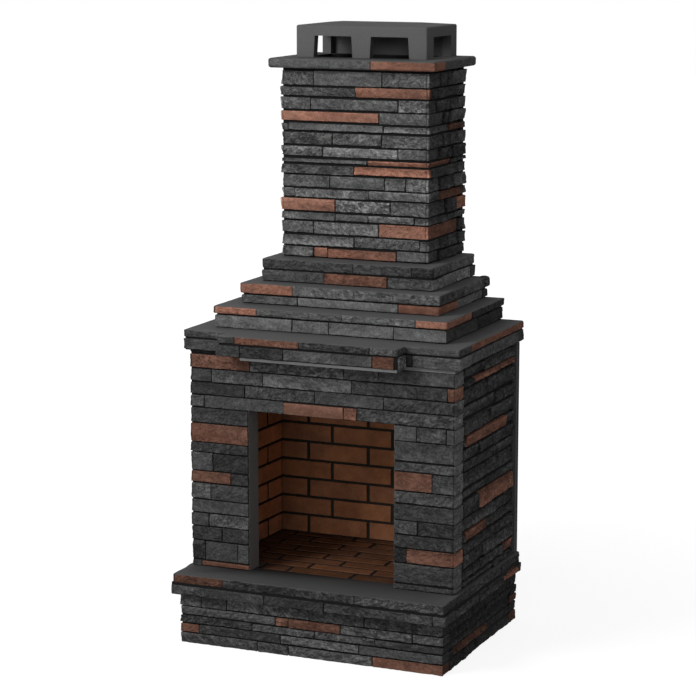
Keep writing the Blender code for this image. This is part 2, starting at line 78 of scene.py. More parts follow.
# The dark bed: how far it stays behind a front, a rough side and a block's sides, how
# far it comes out to fill the gaps at a block's ends, and its laps and gaps
front_relief, side_relief, core_inset, flue_inset = 0.004, 0.010, 0.003, 0.0070
end_cover, flue_cover = 0.0025, 0.0036
bed_inset, bed_proud, mortar_overlap, pocket_gap = 0.001, 0.0005, 0.002, 0.0003

# How a wall is laid: half the width of its upright and its bed joints, how much more
# a stone's bed may be trimmed, how far stones stand out, how much they lean, how much
# rougher they are, how bright, how much further they reach at a row's two ends, how
# its corners are dressed, and the tone past a corner
Laying = namedtuple("Laying", "upright bed trim least most lean rough tone ends corner end_tone",
                    defaults=((0.0, 0.0), None, 1.0))
fine_laying = Laying(0.0014, 0.0016, 0.0026, 0.0008, 0.0044, 0.0012, 0.12, 1.06)
rough_laying = Laying(0.0020, 0.0032, 0.0058, -0.0035, 0.0060, 0.0055, 0.70, 1.30)
dark_laying = Laying(0.0016, 0.0022, 0.0044, -0.0035, 0.0055, 0.0050, 0.60, 0.54)
tight_laying = Laying(0.0, 0.0, 0.0, 0.0010, 0.0024, 0.0, 0.1, 0.62)
tall_laying = Laying(0.0018, 0.0020, 0.0046, 0.0022, 0.0078, 0.0034, 0.25, 1.80, (0.0035, -0.0056),
                     "cut", 0.62)
side_flue_laying = tall_laying._replace(least=0.0050, most=0.0090, rough=0.45, tone=1.0, corner=None,
                                        end_tone=1.0)
base_laying = fine_laying._replace(rough=0.30, tone=1.20, end_tone=0.40)
hearth_laying = fine_laying._replace(end_tone=0.80)
mantel_laying = fine_laying._replace(end_tone=1.8)
mantel_side_laying = fine_laying._replace(tone=1.95)
# The right jamb and the lintel are painted lighter than the left jamb, as painted light making up for the
# key lamp, which lights the right-hand side less
facade_layings = {
    name: fine_laying._replace(tone=tone, corner="groove", end_tone=2.7)
    for name, tone in (("left_jamb", 1.0), ("right_jamb", 1.2), ("lintel", 1.1))
}

# The body's rear panel: width of its plain strips, how far they stand out at the sides,
# and where their light part starts and ends; and the gap beside the side panels
edge_strip, edge_reach, light_start, light_end = 0.012, 0.006, 0.004, 0.017
side_gap = 0.003

# Slabs and hollow blocks: thickness of the lips, the seats and walls round their holes,
# and the joints and insets under them
hearth_lip, hearth_lip_inset, hearth_gap = 0.033, 0.006, 0.005
mantel_lip, shelf_end = 0.026, 0.012
hood_course_inset, hood_seat, hood_rear_wall = 0.006, 0.055, 0.075
flue_wall, crown_seat, crown_rear_seat = 0.060, 0.037, 0.071
slab_joint, under_gap, crown_gap = 0.004, 0.003, 0.003

# The thin course under the mantel and the pale band before it: how far this reaches down
# and stands out, and where it starts in shares of the width; and the band under the shelf
mantel_band, band_drop, band_share, band_out = 0.008, 0.004, 0.24, 0.0035
shelf_band_start, shelf_band_inset = 0.085, 0.004

# Edges of the slabs: roundings with the angles of their points, the notches at their
# joints, how rough and how ragged they are, and their tones
lip_round, plan_round, crown_round = 0.0036, 0.007, 0.008
lip_arc, plan_arc = (90.0, 60.0, 30.0), (22.5, 45.0, 67.5)
notch_depth, notch_width = 0.0035, 0.0018
lip_proud = 0.0025
lip_rough, hearth_lip_rough, crown_strength = 0.28, 0.60, 0.5
ragged_size, ragged_height, rough_ragged, split_ragged = (0.045, 0.045, 0.03), 0.0016, 2.0, 1.5
crown_tone, hearth_lip_tone, mantel_lip_tone = 1.20, 1.0, 0.92

# Single proud stones: one at the foot of the upper chimney block, and a knob at the
# middle hood block, whose tone is a share of the block's side
proud_step, proud_length = 0.012, 0.128
knob_size, knob_rise, knob_round, knob_share = (0.013, 0.050, 0.034), 0.003, 0.013, 1 / 3

# Cap: roundings of the solid and of the piece, height of the dome, and its lid
cap_round, crisp_round, cap_rise, cap_tolerance = 0.010, 0.006, 0.008, 0.0005
lid_depth, lid_growth = 0.024, 0.0062

# How firebrick is laid: its courses, where the first joint of even and odd courses
# lies in brick lengths, widths of the upright and the bed joints, depth of the
# joints, the finish in them, and the bricks' tone
Bricks = namedtuple("Bricks", "rows bonds joints relief bed tone")
back_bricks = Bricks(11, (0.64, 1.04), (0.0125, 0.0100), 0.005, "soot", 1.0)
# The side walls' bricks are painted lighter, and the floor's and its front row's darker, than the back
# wall's, as painted light and shade inside the firebox
side_bricks = back_bricks._replace(bonds=(0.47, 0.96), relief=0.0032, tone=1.95)
floor_bricks = Bricks(7, (0.44, 0.83), (0.0120, 0.0150), 0.0032, "mortar", 0.35)
threshold_bricks = floor_bricks._replace(rows=1, tone=0.21)
brick_length, brick_sink, brick_tones = 0.244, 0.0012, (0.85, 1.12)
brick_waves = ((0.05, 0.0006), (0.014, 0.0007))
side_wall_thickness = 0.025

# Sides of a box, as its axis and its end
LEFT, RIGHT = (0, 0), (0, 1)
FRONT, REAR = (1, 0), (1, 1)
BOTTOM, TOP = (2, 0), (2, 1)

# Brightness and roughness of the stones by their letter: w, p, l, g, d and k go from
# pale to dark, and r, e, b and n too but are red, f and m are fractured, and s is smooth
stone_tones = {"w": 3.6, "p": 1.70, "l": 1.38, "g": 1.0, "d": 0.74, "k": 0.52, "r": 0.98, "e": 0.75,
               "b": 0.62, "n": 0.38, "f": 1.45, "m": 0.80, "s": 1.90}
stone_roughness = {"w": (0.6, 0.9), "p": (0.2, 0.8), "l": (0.1, 0.6), "g": (0.05, 0.55), "d": (0.2, 0.7),
                   "k": (0.2, 0.7), "r": (0.0, 0.35), "e": (0.0, 0.4), "b": (0.1, 0.5), "n": (0.3, 0.6),
                   "f": (0.9, 1.0), "m": (0.8, 1.0), "s": (0.0, 0.1)}
red_letters = "rebn"
free_tones = "gggggggdddllfmr"
grey_tones = "gggggddm"
tone_wander = 0.08

# Courses from the top down: share of the height, upright joints as shares of the
# width, and one letter for each stone
# The pale p stone in the lintel's top course is painted light against the shelf's shadow on it
lintel_courses = (
    (0.27, (0.23, 0.59, 0.72), "bplg"),
    (0.25, (0.08, 0.28, 0.62, 0.975), "dgpdb"),
    (0.24, (0.21, 0.48, 0.74), "kggd"),
    (0.24, (0.05, 0.36, 0.59, 0.64), "ggeeg"),
)
left_jamb_courses = (
    (0.055, (), "d"), (0.071, (), "b"), (0.036, (), "d"), (0.069, (0.37,), "gk"), (0.044, (0.69,), "bk"),
    (0.060, (0.33,), "lg"), (0.050, (), "g"), (0.050, (0.29,), "gl"), (0.053, (0.52,), "dd"),
    (0.073, (0.22, 0.80), "dgg"), (0.023, (0.15,), "de"),
)
right_jamb_courses = (
    (0.055, (0.38, 0.87), "ggg"), (0.071, (), "g"), (0.036, (), "g"), (0.069, (0.64,), "bg"),
    (0.044, (), "g"), (0.060, (), "d"), (0.050, (0.40,), "gk"), (0.050, (), "d"),
    (0.053, (0.22,), "kb"), (0.073, (), "d"), (0.023, (), "d"),
)
right_panel_courses = (
    (0.057, (0.40,), "dg"), (0.035, (0.20,), "dr"), (0.080, (0.45,), "dm"), (0.064, (0.62,), "gd"),
    (0.074, (0.52,), "mg"), (0.055, (0.04, 0.83), "grm"), (0.062, (0.30,), "gd"), (0.050, (0.55,), "mg"),
    (0.076, (0.70,), "dg"), (0.046, (0.45,), "gm"), (0.087, (0.32,), "mr"), (0.060, (0.64,), "gd"),
    (0.052, (0.04, 0.46), "grd"), (0.050, (0.52,), "dm"), (0.070, (0.40,), "mg"),
    (0.055, (0.36, 0.81), "dgr"), (0.031, (0.60,), "gm"),
)
base_courses = (
    (0.048, (0.08, 0.18, 0.32, 0.50, 0.71), "lglpgg"),
    (0.034, (0.37, 0.42, 0.62, 0.89), "lbbll"),
    (0.029, (0.28, 0.52, 0.75), "dlld"),
    (0.035, (0.07, 0.39, 0.69), "edpg"),
    (0.038, (0.30, 0.42, 0.74), "ggle"),
)
base_right_courses = (
    (0.048, (0.35,), "gd"), (0.034, (0.60,), "dg"), (0.029, (), "g"), (0.035, (0.08, 0.62), "grg"),
    (0.038, (0.45,), "dg"),
)
chimney_upper_courses = (
    (0.057, (0.21, 0.68), "ggg"), (0.040, (0.50,), "db"), (0.047, (0.19, 0.79), "ggl"),
    (0.045, (0.66,), "eg"), (0.031, (0.035, 0.69), "ggl"), (0.051, (0.34, 0.68), "dgg"),
    (0.043, (0.27, 0.79), "lpg"),
)
chimney_lower_courses = (
    (0.021, (0.58,), "ge"), (0.040, (0.49,), "dr"), (0.048, (0.32, 0.70, 0.84), "ggll"),
    (0.035, (0.08, 0.59), "lll"), (0.052, (0.36, 0.74), "efg"), (0.029, (0.36, 0.59, 0.90), "gglg"),
    (0.051, (0.21, 0.66), "gle"), (0.043, (0.49, 0.94), "lgg"), (0.041, (0.21, 0.31, 0.78), "gbbg"),
)
# Right side of the chimney by course: how far the front stone turns the corner, the
# row, and how far the rear stone turns it
chimney_upper_sides = {
    1: (0.014, (0.55,), "gd", 0.07),
    4: (0.180, (), "b", 0.02),
    6: (0.090, (0.40,), "dd", 0.06),
}
chimney_lower_sides = {
    0: (0.195, (), "g", 0.07),
    1: (0.014, (0.55,), "gg", 0.06),
    3: (0.094, (), "b", 0.02),
    4: (0.150, (), "d", 0.08),
    6: (0.275, (), "g", 0.02),
}
slab_rows = {
    "hearth_slab": ((0.19, 0.46, 0.68), "nkdg"),
    "mantel_shelf": ((0.10, 0.46, 0.85), "dbdl"),
    "hood_lower_block": ((0.19, 0.56, 0.87), "rglr"),
    "hood_middle_block": ((0.27, 0.58), "rll"),
    "hood_upper_block": ((0.54, 0.88), "ddk"),
    "chimney_crown": ((0.62,), "gb"),
}
slab_side_rows = {
    "mantel_slab": ((0.17,), "gr"),
    "hood_lower_block": ((0.42,), "rk"),
    "hood_middle_block": ((0.50, 0.88), "gpf"),
    "hood_upper_block": ((0.45,), "lp"),
    "chimney_crown": ((0.25,), "rg"),
}
# Thickness of a hood block's lip, and the tones of its course, of the front stones past
# the corner, of its sides and of its lip
hood_blocks = {
    "hood_lower_block": (0.027, 1.05, 0.50, 0.95, 1.12),
    "hood_middle_block": (0.037, 1.20, 1.7, 3.2, 1.05),
    "hood_upper_block": (0.036, 1.20, 2.6, 3.3, 1.10),
}
# Course under each slab: its front row, and its right-hand side as for the chimney
under_courses = {
    "hearth_slab": (((0.13, 0.35, 0.57, 0.96), "ldkgg"), (0.100, (0.35, 0.74), "gdr", 0.02)),
    "mantel_band": (((), "k"), (return_short, (), "d", 0.02)),
    # The dark k stone in the mantel's course is a painted shadow of the shelf's end
    "mantel_slab": (((0.16, 0.80, 0.835), "ggkl"), (0.110, (0.45,), "gg", 0.07)),
    "hood_lower_block": (((0.34, 0.50, 0.78), "ssss"), (0.090, (0.5,), "gd", 0.05)),
    "hood_middle_block": (((0.29, 0.80), "lse"), (0.175, (0.6,), "gl", 0.05)),
    "hood_upper_block": (((0.37, 0.74), "gbg"), (0.100, (0.5,), "gl", 0.05)),
}
shelf_row = (0.13, 0.38, 0.88), "dkgb"


# Noise

noise_period = 256
noise_random = np.random.default_rng(5)
noise_order = noise_random.permutation(noise_period)
noise_slopes = noise_random.normal(size=(noise_period, 3))
noise_slopes /= np.linalg.norm(noise_slopes, axis=1)[:, None]


def smooth_noise(places):
    """Gradient noise of about -0.7 to 0.7, with swells about one unit apart."""
    cell = np.floor(places).astype(int)
    part = places - cell
    fade = part ** 3 * (part * (part * 6 - 15) + 10)
    total = np.zeros(len(places))
    for corner in itertools.product((0, 1), repeat=3):
        spot = (cell + corner) % noise_period
        slope = noise_order[spot[:, 0]]
        slope = noise_order[(slope + spot[:, 1]) % noise_period]
        slope = noise_order[(slope + spot[:, 2]) % noise_period]
        near = np.where(corner, fade, 1 - fade)
        total += near.prod(axis=1) * ((part - corner) * noise_slopes[slope]).sum(axis=1)
    return total


def ledges(values):
    """Turns a smooth rise into flat steps with steep but soft risers."""
    whole = np.floor(values)
    rise = np.clip((values - whole - 0.5) * riser_slope + 0.5, 0, 1)
    return whole + rise * rise * (3 - 2 * rise)


# Relief of split stone: wavelengths along X, Y and Z, and heights, of its swells, ledges
# and chips, with the number of ledges and the slope of their risers; and wavelengths,
# heights and starts of the waves in its chipped edges
swell_size, swell_height = (0.11, 0.11, 0.05), 0.0022
ledge_size, ledge_height, ledge_count, riser_slope = (0.065, 0.065, 0.020), 0.0011, 3.0, 3.5
chip_size, chip_height = (0.016, 0.016, 0.009), 0.0012
wave_sizes, wave_heights, wave_shifts = (0.036, 0.012), (0.0021, 0.0016), (11.0, 23.0, 47.0)
# Share of each on smooth stone, and how much more of it rough stone has; and how far a
# stone's seed shifts its relief
swell_share, ledge_share, chip_share, wave_share = (0.7, 0.3), (0.15, 1.35), (0.5, 1.3), (0.7, 0.8)
seed_shift = np.array((37.0, 91.0, 53.0))


def at_rough(share, rough):
    """A share at some roughness."""
    return share[0] + share[1] * rough


def split_relief(places, rough):
    """How far the face of split stone stands out at places."""
    swell = smooth_noise(places / swell_size) * swell_height
    ledge = ledges(smooth_noise(places / ledge_size) * ledge_count) * ledge_height
    chip = smooth_noise(places / chip_size) * chip_height
    return (swell * at_rough(swell_share, rough) + ledge * at_rough(ledge_share, rough)
            + chip * at_rough(chip_share, rough))


def brick_relief(places, rough):
    """How far the face of a pressed brick, which is never rough, stands out at places."""
    return sum(smooth_noise(places / size) * height for size, height in brick_waves)


# Pieces

# relief and edge carry the painted shade and highlights of hollows, proud parts and corners into the stone's
# colour
look_names = ("tone", "red", "seed", "rough", "relief", "edge")
plain_look = (1.0, 0.0, 0.5, 0.0, 0.0, 0.0)


def place_object(name, data):
    """Puts an object into the scene."""
    made = bpy.data.objects.new(name, data)
    bpy.context.scene.collection.objects.link(made)
    return made


def stand_in(name, mesh, node):
    """Shows a mesh in place of a CAD node."""
    made = place_object(name, mesh)
    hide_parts(node)
    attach(made, "root")


class Surface:
    """Faces gathered for one piece, with the finish of each face and the look at each
    point, and the lot that its stones are drawn by."""

    def __init__(self, rng):
        self.rng = rng
        self.points, self.faces, self.finishes, self.looks = [], [], [], []
        self.count = 0

    def add(self, points, faces, finish, looks=None):
        """Adds faces with one finish or a list of them, and with plain looks if none are given."""
        self.points.append(np.asarray(points, float))
        self.looks.append(np.tile(plain_look, (len(points), 1)) if looks is None else looks)
        self.faces += [[corner + self.count for corner in face] for face in faces]
        self.finishes += [finish] * len(faces) if isinstance(finish, str) else finish
        self.count += len(points)

    def piece(self, name, node):
        """Makes the gathered faces a piece that stands for a CAD node."""
        mesh = bpy.data.meshes.new(name)
        mesh.from_pydata(np.concatenate(self.points).tolist(), [], self.faces)
        looks = np.concatenate(self.looks)
        for column, look in enumerate(look_names):
            layer = mesh.attributes.new(look, "FLOAT", "POINT")
            layer.data.foreach_set("value", looks[:, column].astype(np.float32))
        used = sorted(set(self.finishes))
        for finish in used:
            mesh.materials.append(materials[finish])
        mesh.polygons.foreach_set("material_index", [used.index(finish) for finish in self.finishes])
        mesh.polygons.foreach_set("use_smooth", [finish not in flat_finishes for finish in self.finishes])
        stand_in(name, mesh, node)


# Bodies of stone

def look_of(letter, rng, more_rough=0.0, tone=1.0):
    """Tone, redness, seed and roughness of a stone from its letter."""
    wander = rng.uniform(1 - tone_wander, 1 + tone_wander)
    rough = min(1.0, rng.uniform(*stone_roughness[letter]) + more_rough)
    return stone_tones[letter] * wander * tone, float(letter in red_letters), rng.random(), rough


def grid_line_places(low, high, closed, fine):
    """Grid lines between two ends, crowded at the closed ones, and spread between if fine."""
    crowd = np.array(edge_lines) * min(1.0, (high - low) / (edge_lines[-1] * crowds_per_side))
    start = low + crowd if closed[0] else np.array((low,))
    end = (high - crowd)[::-1] if closed[1] else np.array((high,))
    gap = end[0] - start[-1]
    count = max(1, round(gap / face_grid)) if fine else 1
    return np.concatenate((start, np.linspace(start[-1], end[0], count + 1)[1:-1], end))


def shell_faces(counts, shown, buried):
    """Outward faces of a box lattice. Each side that isn't shown has one flat face in its middle."""
    grid = np.arange(np.prod(counts)).reshape(counts)
    margin = len(edge_lines) - 1
    faces = []
    for axis, end in itertools.product(range(3), (0, 1)):
        across = ((axis + 1) % 3, (axis + 2) % 3)
        sheet = np.moveaxis(grid, (axis, *across), (0, 1, 2))[-end]
        first = [0 if (other, 0) in buried else margin for other in across]
        last = [counts[other] - 1 - (0 if (other, 1) in buried else margin) for other in across]
        if not end:
            sheet, first, last = sheet.T, first[::-1], last[::-1]
        quads = np.stack((sheet[:-1, :-1], sheet[1:, :-1], sheet[1:, 1:], sheet[:-1, 1:]), axis=2)
        keep = np.ones(quads.shape[:2], bool)
        if (axis, end) not in shown:
            if (axis, end) in buried:
                first, last = [0, 0], [sheet.shape[0] - 1, sheet.shape[1] - 1]
            keep[first[0]:last[0], first[1]:last[1]] = False
            faces.append([
                *sheet[first[0]:last[0], first[1]], *sheet[last[0], first[1]:last[1]],
                *sheet[last[0]:first[0]:-1, last[1]], *sheet[first[0], last[1]:first[1]:-1],
            ])
        faces += quads[keep].tolist()
    return faces


def stone_lattice(low, high, shown, buried):
    """Points and faces of a box with a grid on its shown sides."""
    lines = []
    for axis in range(3):
        closed = ((axis, 0) not in buried, (axis, 1) not in buried)
        fine = any(side[0] != axis for side in shown)
        lines.append(grid_line_places(low[axis], high[axis], closed, fine))
    counts = [len(places) for places in lines]
    faces = shell_faces(counts, shown, buried)
    used, where = np.unique(np.concatenate([np.array(face) for face in faces]), return_inverse=True)
    ends = np.cumsum([len(face) for face in faces])[:-1]
    faces = [part.tolist() for part in np.split(where, ends)]
    spots = np.unravel_index(used, counts)
    return np.stack([places[spot] for places, spot in zip(lines, spots)], axis=1), faces


def rounded_off(points, low, high, buried, radius):
    """Rounds a box off except at its buried sides, and tells which way is out at each point."""
    margin = np.full((2, 3), radius)
    for axis, end in buried:
        margin[end, axis] = 0.0
    inner = np.clip(points, low + margin[0], high - margin[1])
    away = points - inner
    length = np.linalg.norm(away, axis=1)[:, None]
    normal = np.divide(away, length, out=np.zeros_like(away), where=length > 0)
    return np.where(length > 0, inner + normal * radius, points), normal


def cut_corner(points, box, sides):
    """Cuts the upright edge between two sides off at a slant, and tells how much of
    the cut each point is part of."""
    signs = [1 if end else -1 for axis, end in sides]
    inward = [(box[end][axis] - points[:, axis]) * sign for (axis, end), sign in zip(sides, signs)]
    over = np.maximum(corner_cut - inward[0] - inward[1], 0)
    moved = points.copy()
    for (axis, end), sign in zip(sides, signs):
        moved[:, axis] -= sign * over / 2
    return moved, np.clip(over / corner_cut * cut_contrast, 0, 1)


def groove_share(distance):
    """How deep a groove is at a distance from its middle, from 0 to 1."""
    return np.exp(-(distance / groove_width) ** 2)


def stone(low, high, shown, buried, look, relief=split_relief, radius=stone_round, corner=None,
          end_tone=1.0, lean=(0.0, 0.0)):
    """Points, faces and looks of a rounded body whose shown sides are cleft. Its buried
    sides are flat, and the others are joints. A stone that turns a corner may have it
    cut off, with a painted highlight on the cut and painted shade beside it, or grooved,
    with painted shade in the groove, and has a tone of its own past it."""
    low, high = box = np.array(low, float), np.array(high, float)
    plain_tone, red, seed, rough = look
    points, faces = stone_lattice(low, high, shown, buried)
    rounded, normal = rounded_off(points, low, high, buried, radius)

    # How much of the relief each point takes, and how deep behind the shown sides it is
    weight = np.zeros(len(points))
    depth = np.full(len(points), 1.0)
    for axis, end in shown:
        weight += np.maximum(normal[:, axis] * (1 if end else -1), 0) ** 2
        depth = np.minimum(depth, np.abs(rounded[:, axis] - box[end][axis]))
    place = rounded + seed_shift * seed
    height = relief(place, rough) * weight
    main_axis = shown[0][0]
    across = 0 if main_axis == 2 else 1 - main_axis
    turned = ((rounded - (low + high) / 2) / ((high - low) / 2))[:, (across, 2)]
    height += (turned * lean).sum(axis=1) * weight

    # The chipped edges
    wave = np.zeros_like(rounded)
    for size, amount in zip(wave_sizes, wave_heights):
        wave += np.stack([smooth_noise(place / size + shift) for shift in wave_shifts], axis=1) * amount
    wave *= at_rough(wave_share, rough)
    wave *= np.clip(1 - depth / chip_reach, 0, 1)[:, None]

    tone = np.full(len(points), plain_tone)
    # edge carries painted light: a painted highlight on a cut corner, and painted shade beside the cut and
    # in a groove
    edge = np.zeros(len(points))
    front = np.abs(normal[:, main_axis])
    for axis, end in shown[1:]:
        past = np.maximum(normal[:, axis] * (1 if end else -1), 0) ** 2
        tone *= 1 + (end_tone - 1) * past
        if corner == "cut":
            rounded, share = cut_corner(rounded, box, (shown[0], (axis, end)))
            from_cut = np.abs(rounded[:, axis] - box[end][axis]) - corner_cut
            edge = np.maximum(edge, share) - cut_shade * groove_share(from_cut - groove_width) * front
        elif corner == "groove":
            from_corner = np.abs(rounded[:, axis] - box[end][axis])
            share = groove_share(from_corner - groove_place) * front
            height -= corner_groove * share
            edge -= share
    same = np.tile((red, seed, rough), (len(points), 1))
    looks = np.column_stack((tone, same, height / ledge_height, edge))
    return rounded + normal * height[:, None] + wave, faces, looks


def add_stone(surface, low, high, shown, buried, letter, laying):
    """One stone, with its lean and its look drawn by lot."""
    rng = surface.rng
    lean = (rng.uniform(-laying.lean, laying.lean) * lean_along, rng.uniform(-laying.lean, laying.lean))
    look = look_of(letter, rng, laying.rough, laying.tone)
    points, faces, looks = stone(low, high, shown, buried, look, corner=laying.corner,
                                 end_tone=laying.end_tone, lean=lean)
    surface.add(points, faces, "split_stone", looks)


def add_box(surface, low, high, finish):
    """A plain box, such as the bed behind stones and bricks."""
    faces = ((0, 1, 3, 2), (4, 6, 7, 5), (0, 4, 5, 1), (2, 3, 7, 6), (0, 2, 6, 4), (1, 5, 7, 3))
    surface.add(list(itertools.product(*zip(low, high))), faces, finish)


def add_tube(surface, plan, hole, low, high):
    """An upright square tube of mortar. Plans are (left, right, front, rear)."""
    points = [(*corner, height) for square in (plan, hole) for height in (low, high)
              for corner in plan_corners(square)]
    faces = []
    for corner, after in ((0, 1), (1, 2), (2, 3), (3, 0)):
        faces += [
            (corner, after, after + 4, corner + 4), (after + 8, corner + 8, corner + 12, after + 12),
            (corner + 4, after + 4, after + 12, corner + 12), (after, corner, corner + 8, after + 8),
        ]
    surface.add(points, faces, "mortar")


# Rows and courses

def free_row(rng, count, letters=free_tones):
    """A row of stones whose joints and letters are drawn by lot."""
    splits = tuple((index + rng.uniform(-split_wander, split_wander)) / count for index in range(1, count))
    return splits, "".join(rng.choice(letters) for index in range(count))


def add_row(surface, region, side, span, row, heights, returns=(None, None), laying=fine_laying):
    """Stones side by side on one side of a region. Returns says how far the first and
    the last stone reach round their corners, or None where they end in a joint."""
    axis, end = side
    along = 1 - axis
    sign = 1 if end else -1
    rng = surface.rng
    splits, letters = row
    cuts = [span[0] + (span[1] - span[0]) * split for split in (0.0, *splits, 1.0)]
    for index, letter in enumerate(letters):
        low, high = np.zeros(3), np.zeros(3)
        lift = laying.bed + rng.uniform(0, laying.trim)
        low[2] = heights[0] + (lift if heights[0] > mortar_overlap else 0.0)
        high[2] = heights[1] - laying.bed - rng.uniform(0, laying.trim)
        low[along] = cuts[index] + laying.upright
        high[along] = cuts[index + 1] - laying.upright
        out = rng.uniform(laying.least, laying.most)
        shown, buried, depth = [side], [(axis, 1 - end)], stone_depth
        turns = (returns[0] if index == 0 else None, returns[1] if index == len(letters) - 1 else None)
        for which, turn in enumerate(turns):
            if turn is not None:
                shown.append((along, which))
                buried, depth = [], turn
                reach = (out + laying.ends[which]) * (1 if which else -1)
                (high if which else low)[along] = region[which][along] + reach
        low[axis], high[axis] = sorted((region[end][axis] + sign * out, region[end][axis] - sign * depth))
        add_stone(surface, low, high, shown, buried, letter, laying)


def laid_courses(region, courses):
    """The row of each course with its bottom and top, from the top down."""
    low, high = region[0][2], region[1][2]
    total = sum(course[0] for course in courses)
    level = high
    for share, *row in courses:
        under = level - (high - low) * share / total
        yield row, (under, level)
        level = under


def free_courses(rng, courses, count):
    """Courses as high as the given ones, whose stones are drawn by lot."""
    return [(course[0], *free_row(rng, count)) for course in courses]


def add_wall(surface, region, side, courses, turned, laying):
    """A panel faced with courses on one side, and round its first and its last end
    where turned says so."""
    axis, end = side
    thickness = region[1][axis] - region[0][axis]
    span = (region[0][1 - axis], region[1][1 - axis])
    returns = [thickness if turn else None for turn in turned]
    for row, heights in laid_courses(region, courses):
        add_row(surface, region, side, span, row, heights, returns, laying)


def add_ring(surface, region, courses, sides, laying, side_laying):
    """Courses round four sides. Front and rear rows turn the corners; sides says how
    the right-hand side is laid where it isn't left to the lot: how far the front stone
    turns, the row, and how far the rear stone turns."""
    low, high = region
    rng = surface.rng
    left_out = laying.ends[0]
    rear_laying = laying._replace(ends=(left_out, left_out), corner=None, end_tone=1.0)
    left_laying = laying._replace(least=laying.least + left_out, most=laying.most + left_out)
    across = (low[0], high[0])
    for level, (row, heights) in enumerate(laid_courses(region, courses)):
        turns = [rng.uniform(return_short, return_long) for turn in range(4)]
        right_row = free_row(rng, 2, grey_tones)
        if level in sides:
            turns[1], *right_row, turns[3] = sides[level]
        left_span = (low[1] + turns[0], high[1] - turns[2])
        right_span = (low[1] + turns[1], high[1] - turns[3])
        add_row(surface, region, FRONT, across, row, heights, turns[:2], laying)
        add_row(surface, region, REAR, across, free_row(rng, 3), heights, turns[2:], rear_laying)
        add_row(surface, region, LEFT, left_span, free_row(rng, 2), heights, laying=left_laying)
        add_row(surface, region, RIGHT, right_span, right_row, heights, laying=side_laying)


def add_course(surface, region, name, laying, side_laying=fine_laying):
    """The one course under a slab."""
    row, side = under_courses[name]
    add_ring(surface, region, [(1.0, *row)], {0: side}, laying, side_laying)


def inset(region, left=0.0, right=0.0, front=0.0, rear=0.0):
    """A region drawn in by a distance at each of its four sides."""
    return region[0] + Vector((left, front, 0.0)), region[1] - Vector((right, rear, 0.0))


def drawn_in(region, side, distance):
    """A region with one side moved inward."""
    axis, end = side
    moved = Vector(region[0]), Vector(region[1])
    moved[end][axis] -= distance if end else -distance
    return moved


def part_of(region, bottom, top):
    """A region between two other heights."""
    low, high = Vector(region[0]), Vector(region[1])
    low.z, high.z = bottom, top
    return low, high


def plan_of(region):
    """Left, right, front and rear of a region."""
    low, high = region
    return low[0], high[0], low[1], high[1]


def plan_corners(plan):
    """Corners of a square plan, anticlockwise from the front left one."""
    left, right, front, rear = plan
    return [(left, front), (right, front), (right, rear), (left, rear)]


# Slab edges

def side_stations(start, end, trims, row, rng):
    """Points along one side of a slab: place, outward direction and look of each."""
    splits, letters = row
    start, end = np.array(start), np.array(end)
    length = np.linalg.norm(end - start)
    step = (end - start) / length
    outward = np.array((step[1], -step[0]))
    count = max(2, round((length - sum(trims)) / face_grid))
    places = set(np.linspace(trims[0], length - trims[1], count + 1))
    for split in splits:
        centre = split * length
        places = {place for place in places if abs(place - centre) > lip_crowding[-1] * joint_clearance}
        places |= {centre + shift for shift in lip_crowding}
    cuts = np.array((0.0, *splits, 1.0)) * length
    looks = [look_of(letter, rng) for letter in letters]
    stations = []
    for place in sorted(places):
        index = min(int(np.searchsorted(cuts, place, side="right")) - 1, len(letters) - 1)
        notch = 0.0
        if splits:
            nearest = min(abs(place - cut) for cut in cuts[1:-1])
            notch = math.exp(-(nearest / notch_width) ** 2)
        stations.append((start + step * place, outward, looks[index], notch))
    return stations


def outline_stations(corners, rows, rng):
    """Points round a slab's plan, given anticlockwise, with arcs at its outward corners."""
    count = len(corners)
    corners = [np.array(corner, float) for corner in corners]
    steps = [corners[(index + 1) % count] - corners[index] for index in range(count)]
    turns = [np.cross(steps[index - 1], steps[index]) > 0 for index in range(count)]
    stations = []
    for index in range(count):
        after = (index + 1) % count
        trims = [plan_round if turns[index] else 0.0, plan_round if turns[after] else 0.0]
        side = side_stations(corners[index], corners[after], trims, rows[index], rng)
        if not turns[index]:
            earlier = stations.pop()
            place, outward, look, notch = side[0]
            side[0] = (place, outward + earlier[1], look, notch)
        stations += side
        if turns[after]:
            first = side[-1][1]
            second = np.array((-first[1], first[0]))
            centre = corners[after] - (first + second) * plan_round
            for angle in plan_arc:
                turn = math.radians(angle)
                outward = first * math.cos(turn) + second * math.sin(turn)
                stations.append((centre + outward * plan_round, outward, side[-1][2], 0.0))
    return stations


def lip_profile(height, rounding):
    """Rings of a slab's edge from its top to its bottom: distance in from the edge,
    height above the bottom, how much relief they take, and whether they are cast."""
    top = []
    for angle in lip_arc:
        out, up = math.cos(math.radians(angle)), math.sin(math.radians(angle))
        top.append((rounding * (1 - out), height - rounding * (1 - up), out ** 2, True))
    count = max(2, round((height - rounding * 2) / face_grid * lip_fineness))
    face = [(0.0, level, 1.0, False) for level in np.linspace(height - rounding, rounding, count + 1)]
    bottom = [(inward, height - level, weight, False) for inward, level, weight, cast in reversed(top)]
    inner = rounding + slab_joint / 2
    return [(inner, height, 0.0, True), *top, *face, *bottom, (inner, 0.0, 0.0, False)]


def outer_corners(corners):
    """The four outermost corners of a plan, from the front left one round."""
    left, right = min(x for x, y in corners), max(x for x, y in corners)
    rear = max(y for x, y in corners)
    fronts = [min(y for x, y in corners if x == side) for side in (left, right)]
    return (left, fronts[0]), (right, fronts[1]), (right, rear), (left, rear)


def square_hole(plan):
    """A square hole's four sides, in the form that add_lip wants."""
    corners = plan_corners(plan)
    return [[corners[index], corners[(index + 1) % 4]] for index in range(4)]


